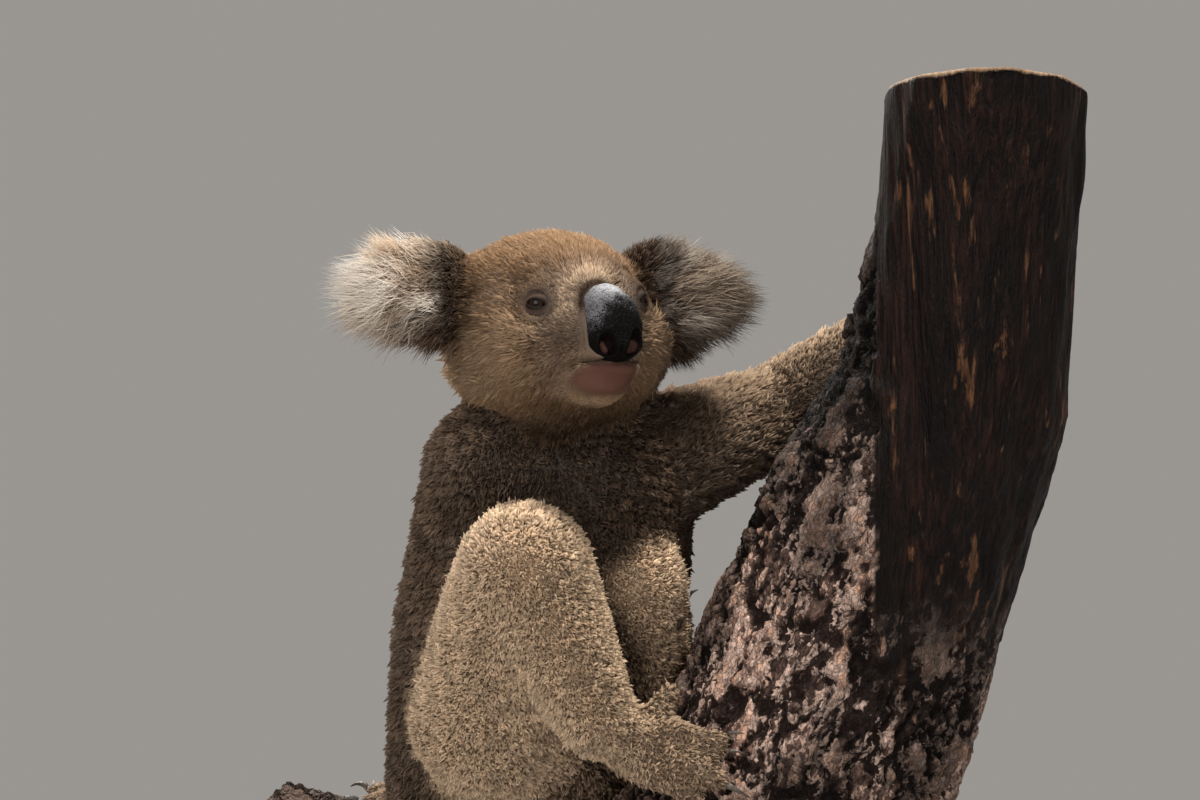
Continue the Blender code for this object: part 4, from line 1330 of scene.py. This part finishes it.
def draw_in(places, end):
    """Draws a sawn end in to meet the bark, which is pressed in all round it."""
    away = places[end] - places[end].mean(axis=0)
    places[end] -= away * (0.5 * BARK_PRESS / np.linalg.norm(away, axis=1).max())


print("stem from", round(STEM_FOOT, 3), "to", round(STEM_TOP, 3))

# %% Pressing the bark in
FLAKE, CHIP = 0.0210, 0.0075             # the big flakes and the small ones on them
WANDER = 0.009                           # how far a flake's outline strays


def make_bark(name, node, along, peeled, sawn_ends):
    bark = copy_solids(name, [node])
    modify(bark, "REMESH", mode="VOXEL", voxel_size=BARK_CELL)
    modify(bark, "SMOOTH", factor=0.5, iterations=5)
    places, outs = points_of(bark), normals_of(bark)
    wander = np.column_stack([ripple(places + shift, 60) for shift in (0.0, 3.1, 6.7)]) * WANDER
    stretched = places + wander
    stretched -= (stretched @ along)[:, None] * along * 0.6        # flakes run along the branch
    border, plate = plates(stretched, FLAKE, 3)
    small_border, small = plates(stretched + wander, CHIP, 5)
    crest = ridges(stretched, 34)
    grit = ripple(places, 150)
    fold = ripple(places * np.array((1, 1, 0.14)), 60)
    fibre = ripple(places * np.array((1, 1, 0.09)), 150)
    crack = smoothstep(0.22, 0.0, border + 0.10 * grit)
    chink = smoothstep(0.16, 0.0, small_border + 0.10 * grit)
    rise = np.clip(0.34 + 0.34 * plate + 0.20 * small + 0.40 * (crest - 0.35) + 0.16 * grit
                   - 0.75 * crack - 0.22 * chink, 0, 1)
    strip = peeled(places, grit)
    ends = sawn_ends(places)
    for end in ends:
        draw_in(places, end)
    sawn = np.logical_or.reduce(ends).astype(float)
    smooth = 0.55 - 0.40 * fold - 0.12 * fibre
    press = BARK_PRESS * ((1 - rise) * (1 - strip) + smooth * strip)
    inward = press.clip(0.0001, BARK_PRESS) * (1 - sawn)
    set_points(bark, places - outs * inward[:, None])
    for mark, values in (("rise", rise), ("plate", plate), ("strip", strip), ("sawn", sawn)):
        set_mark(bark, mark, values)
    print(name, "mean press, mm:", round(float(inward.mean() / MM), 2))
    return bark


stem = make_bark("bark_stem", "perch_stem", STEM_ALONG, stem_strip, stem_ends)
limb = make_bark("bark_limb", "perch_limb", LIMB_WAY, no_strip, limb_ends)

# %% [markdown]
# One finish serves the bark, the bare wood of the strip and the sawn ends, chosen by the marks that
# the pressing wrote. Bark is small chips on bigger slabs, with painted light and shade on them: the
# pits, which the pressing sank, are painted near black as shade, the chips' faces pink-grey, partly
# their paler crust and partly painted highlight, and the bark is painted brighter lower down. Wood
# is streaks along the grain, and a sawn end shows rings round the heart of its own branch.

# %% Bark, wood and sawn ends
def bark_finish(name, turn, heart, way):
    finish = Finish(name, Specular_IOR_Level=0.12)
    place = finish.place()
    rise, plate, strip, sawn = (finish.mark(m) for m in ("rise", "plate", "strip", "sawn"))
    tilted = finish.node("Mapping", {"vector_type": "TEXTURE"}, {
        "Vector": place, "Rotation": turn, "Scale": (1, 1, 2.1)})
    frayed = finish.node("VectorMath", {"operation": "MULTIPLY_ADD"}, {
        0: finish.node("TexNoise", None, {"Vector": place, "Scale": 260.0, "Detail": 3.0}, "Color"),
        1: (0.006, 0.006, 0.006), 2: tilted})
    flake = finish.noise(tilted, 150.0, 7.0, 0.72, 0.5)
    chips = finish.cells(frayed, 330.0, output="Color")
    chip_edge = finish.cells(frayed, 330.0, "DISTANCE_TO_EDGE").between(0.0, 0.16)
    slabs = finish.cells(frayed, 75.0, output="Color")
    grain = finish.noise(finish.place((1, 1, 0.35)), 520.0, 4.0, 0.6)
    # Painted shade: where the pressing sank the bark, the pits are made near black.
    tone = (rise * 0.9 + flake * 0.9 + plate * 0.5 - 0.85).between(0.0, 0.8)
    bark = finish.mix(tone, (0.013, 0.0075, 0.0062), (0.120, 0.073, 0.059))
    # The chips' faces, pink-grey: partly their paler crust, partly painted highlight.
    lit = chips * 0.9 + slabs * 0.65 + plate * 0.4 + flake * 1.1 + rise * 0.5 - 1.58
    crust_and_highlight = finish.mix(grain, (0.28, 0.185, 0.150), (0.47, 0.36, 0.31))
    bark = finish.mix(lit.between(0.10, 0.42) * 0.8, bark, crust_and_highlight)
    rust = (chips - 0.62) * 9.0
    bark = finish.mix(rust.between(0.0, 1.0) * tone * 0.55, bark, (0.33, 0.165, 0.095))
    zone = finish.noise(tilted, 15.0, 3.0, 0.6).between(0.42, 0.60)
    # Painted light: the bark is made brighter lower down.
    low_painted_light = finish.node("SeparateXYZ", None, {0: place}, "Z").between(0.58, 0.46)
    bark = finish.shade(bark, (chip_edge * 0.4 + 0.6) * (zone * 0.9 + 0.3) * (low_painted_light * 1.5 + 0.45))
    thread = finish.noise(finish.place((1, 1, 0.05)), 330.0, 4.0, 0.6)
    band = finish.noise(finish.place((1, 1, 0.10)), 60.0, 4.0, 0.6)
    wood = finish.mix(thread.between(0.38, 0.72) * band.between(0.35, 0.65),
                      (0.0025, 0.0012, 0.0010), (0.026, 0.0095, 0.0058))
    fleck = finish.noise(finish.place((1, 1, 0.16), (0.3, 0.1, 0)), 105.0, 4.0, 0.6)
    wood = finish.mix(fleck.between(0.58, 0.66) * thread.between(0.35, 0.6) * 0.7, wood,
                      (0.15, 0.068, 0.032))
    colour = finish.mix(strip, bark, wood)
    from_heart = finish.node("VectorMath", {"operation": "SUBTRACT"}, {0: place, 1: heart})
    from_heart = finish.node("VectorMath", {"operation": "CROSS_PRODUCT"}, {0: from_heart, 1: way})
    ring = finish.node("TexWave", {"wave_type": "RINGS", "rings_direction": "SPHERICAL"},
                       {"Vector": from_heart, "Scale": 55.0, "Distortion": 2.2, "Detail": 3.0,
                        "Detail Scale": 1.2})
    cut = finish.mix(ring, (0.30, 0.185, 0.110), (0.47, 0.325, 0.215))
    colour = finish.mix(sawn, colour, cut)
    finish.feed("Base Color", finish.shade(colour, grain * 0.6 + 0.70))
    finish.feed("Roughness", grain * 0.2 + 0.70 - strip * 0.26)
    rough = (flake * 1.5 + chips * 0.5 + slabs * 0.5 + chip_edge * 0.35) * (1 - strip)
    finish.bump(rough + grain * 0.5 + thread * strip * 1.5 + band * strip, 0.0026)
    return finish.material


stem_bark = bark_finish("stringybark", (0, STEM_LEAN, 0), STEM_HEART, (0, 0, 1))
limb_bark = bark_finish("stringybark_limb", (0, math.radians(-80), 0), LIMB_END, LIMB_WAY)
place_piece(stem, stem_bark, ["perch_stem"])
place_piece(limb, limb_bark, ["perch_limb"])

# %% [markdown]
# ## The stand
# A plain museum stand: an oiled hardwood board and two steel rods. The board is the solid itself
# with a better finish. The rods are turned again with rounder sides and a flange where each meets
# the board.

# %% Finishes for board and rods
def board_finish():
    finish = Finish("stand_hardwood", Specular_IOR_Level=0.45, Coat_Weight=0.15, Coat_Roughness=0.3)
    long_grain = finish.place((0.10, 1.0, 1.0))
    band = finish.noise(long_grain, 42.0, 4.0, 0.55, 0.8)
    pore = finish.noise(finish.place((0.035, 1.0, 1.0)), 620.0, 3.0, 0.6)
    colour = finish.mix(band.between(0.3, 0.7), (0.060, 0.032, 0.019), (0.165, 0.092, 0.052))
    finish.feed("Base Color", finish.shade(colour, pore * 0.5 + 0.72))
    finish.feed("Roughness", pore * 0.22 + 0.26)
    finish.bump(pore, 0.0003, 0.5)
    return finish.material


def steel_finish():
    finish = Finish("stand_steel", Metallic=1.0)
    brushed = finish.noise(finish.place((1, 1, 22.0)), 90.0, 3.0)
    finish.feed("Base Color", finish.mix(brushed, (0.42, 0.42, 0.43), (0.60, 0.60, 0.61)))
    finish.feed("Roughness", brushed * 0.2 + 0.24)
    finish.bump(brushed, 0.0001, 0.4)
    return finish.material


# %% Board and rods
FLANGE_RADIUS, FLANGE_HEIGHT = 0.0175, 0.005
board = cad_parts["stand_base"]
board.data.materials.clear()
board.data.materials.append(board_finish())
steel = steel_finish()
for number in (1, 2):
    low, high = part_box(f"stand_rod_{number}")
    middle = (low + high) / 2
    deselect()
    bpy.ops.mesh.primitive_cylinder_add(vertices=48, radius=high.x - middle.x, depth=high.z - low.z,
                                        location=middle)
    rod = bpy.context.object
    rod.name = f"steel_rod_{number}"
    bpy.ops.mesh.primitive_cylinder_add(vertices=48, radius=FLANGE_RADIUS, depth=FLANGE_HEIGHT,
                                        location=(middle.x, middle.y, low.z + FLANGE_HEIGHT / 2))
    flange = bpy.context.object
    modify(flange, "BEVEL", width=0.0012, segments=3)
    rod.select_set(True)
    bpy.context.view_layer.objects.active = rod
    bpy.ops.object.join()
    bpy.ops.object.transform_apply(location=True, rotation=True, scale=True)
    place_piece(rod, steel, [f"stand_rod_{number}"])
    bpy.ops.object.shade_smooth_by_angle(angle=math.radians(35))

# %% [markdown]
# ## The studio
# A pale floor, a plain pale room and three soft lamps: a key high above and a little in front, a
# broad fill from the front and the left, and one behind that edges the fringes. The camera looks
# up at the animal from low down, as someone under the tree does, with a long lens.

# %% Floor and room
deselect()
bpy.ops.mesh.primitive_plane_add(size=8)
floor = bpy.context.object
floor.name = "studio_floor"
paper = Finish("studio_paper", Roughness=0.9)
speck = paper.noise(paper.place(), 3.0)
paper.feed("Base Color", paper.mix(speck, (0.60, 0.61, 0.62), (0.66, 0.66, 0.66)))
floor.data.materials.append(paper.material)
room = bpy.data.worlds.new("studio_room")
bpy.context.scene.world = room
room.use_nodes = True
room.node_tree.nodes["Background"].inputs["Color"].default_value = (0.64, 0.61, 0.575, 1)
room.node_tree.nodes["Background"].inputs["Strength"].default_value = 0.50

# %% Lamps and camera
CHEST = Vector((-0.06, -0.03, 0.50))     # what the lamps point at


def lamp(name, place, size, power, colour):
    light = bpy.data.lights.new(name, "AREA")
    light.size, light.energy, light.color = size, power, colour
    holder = bpy.data.objects.new(name, light)
    holder.location = place
    holder.rotation_euler = (CHEST - Vector(place)).to_track_quat("-Z", "Y").to_euler()
    bpy.context.scene.collection.objects.link(holder)


lamp("key", (0.40, -0.95, 2.65), 0.45, 60, (1.0, 0.95, 0.87))
lamp("fill", (-1.0, -2.6, 1.4), 1.6, 39, (1.0, 0.97, 0.93))
lamp("back", (-1.0, 1.3, 2.1), 0.8, 48, (1.0, 0.97, 0.92))
camera = bpy.data.objects.new("camera", bpy.data.cameras.new("camera"))
bpy.context.scene.collection.objects.link(camera)
camera.location = (-0.06, -2.719, 0.088)
camera.rotation_euler = (math.radians(100), 0, 0)
camera.data.sensor_width = 36
camera.data.lens = 135
bpy.context.scene.camera = camera
bpy.context.scene.view_settings.view_transform = "Standard"
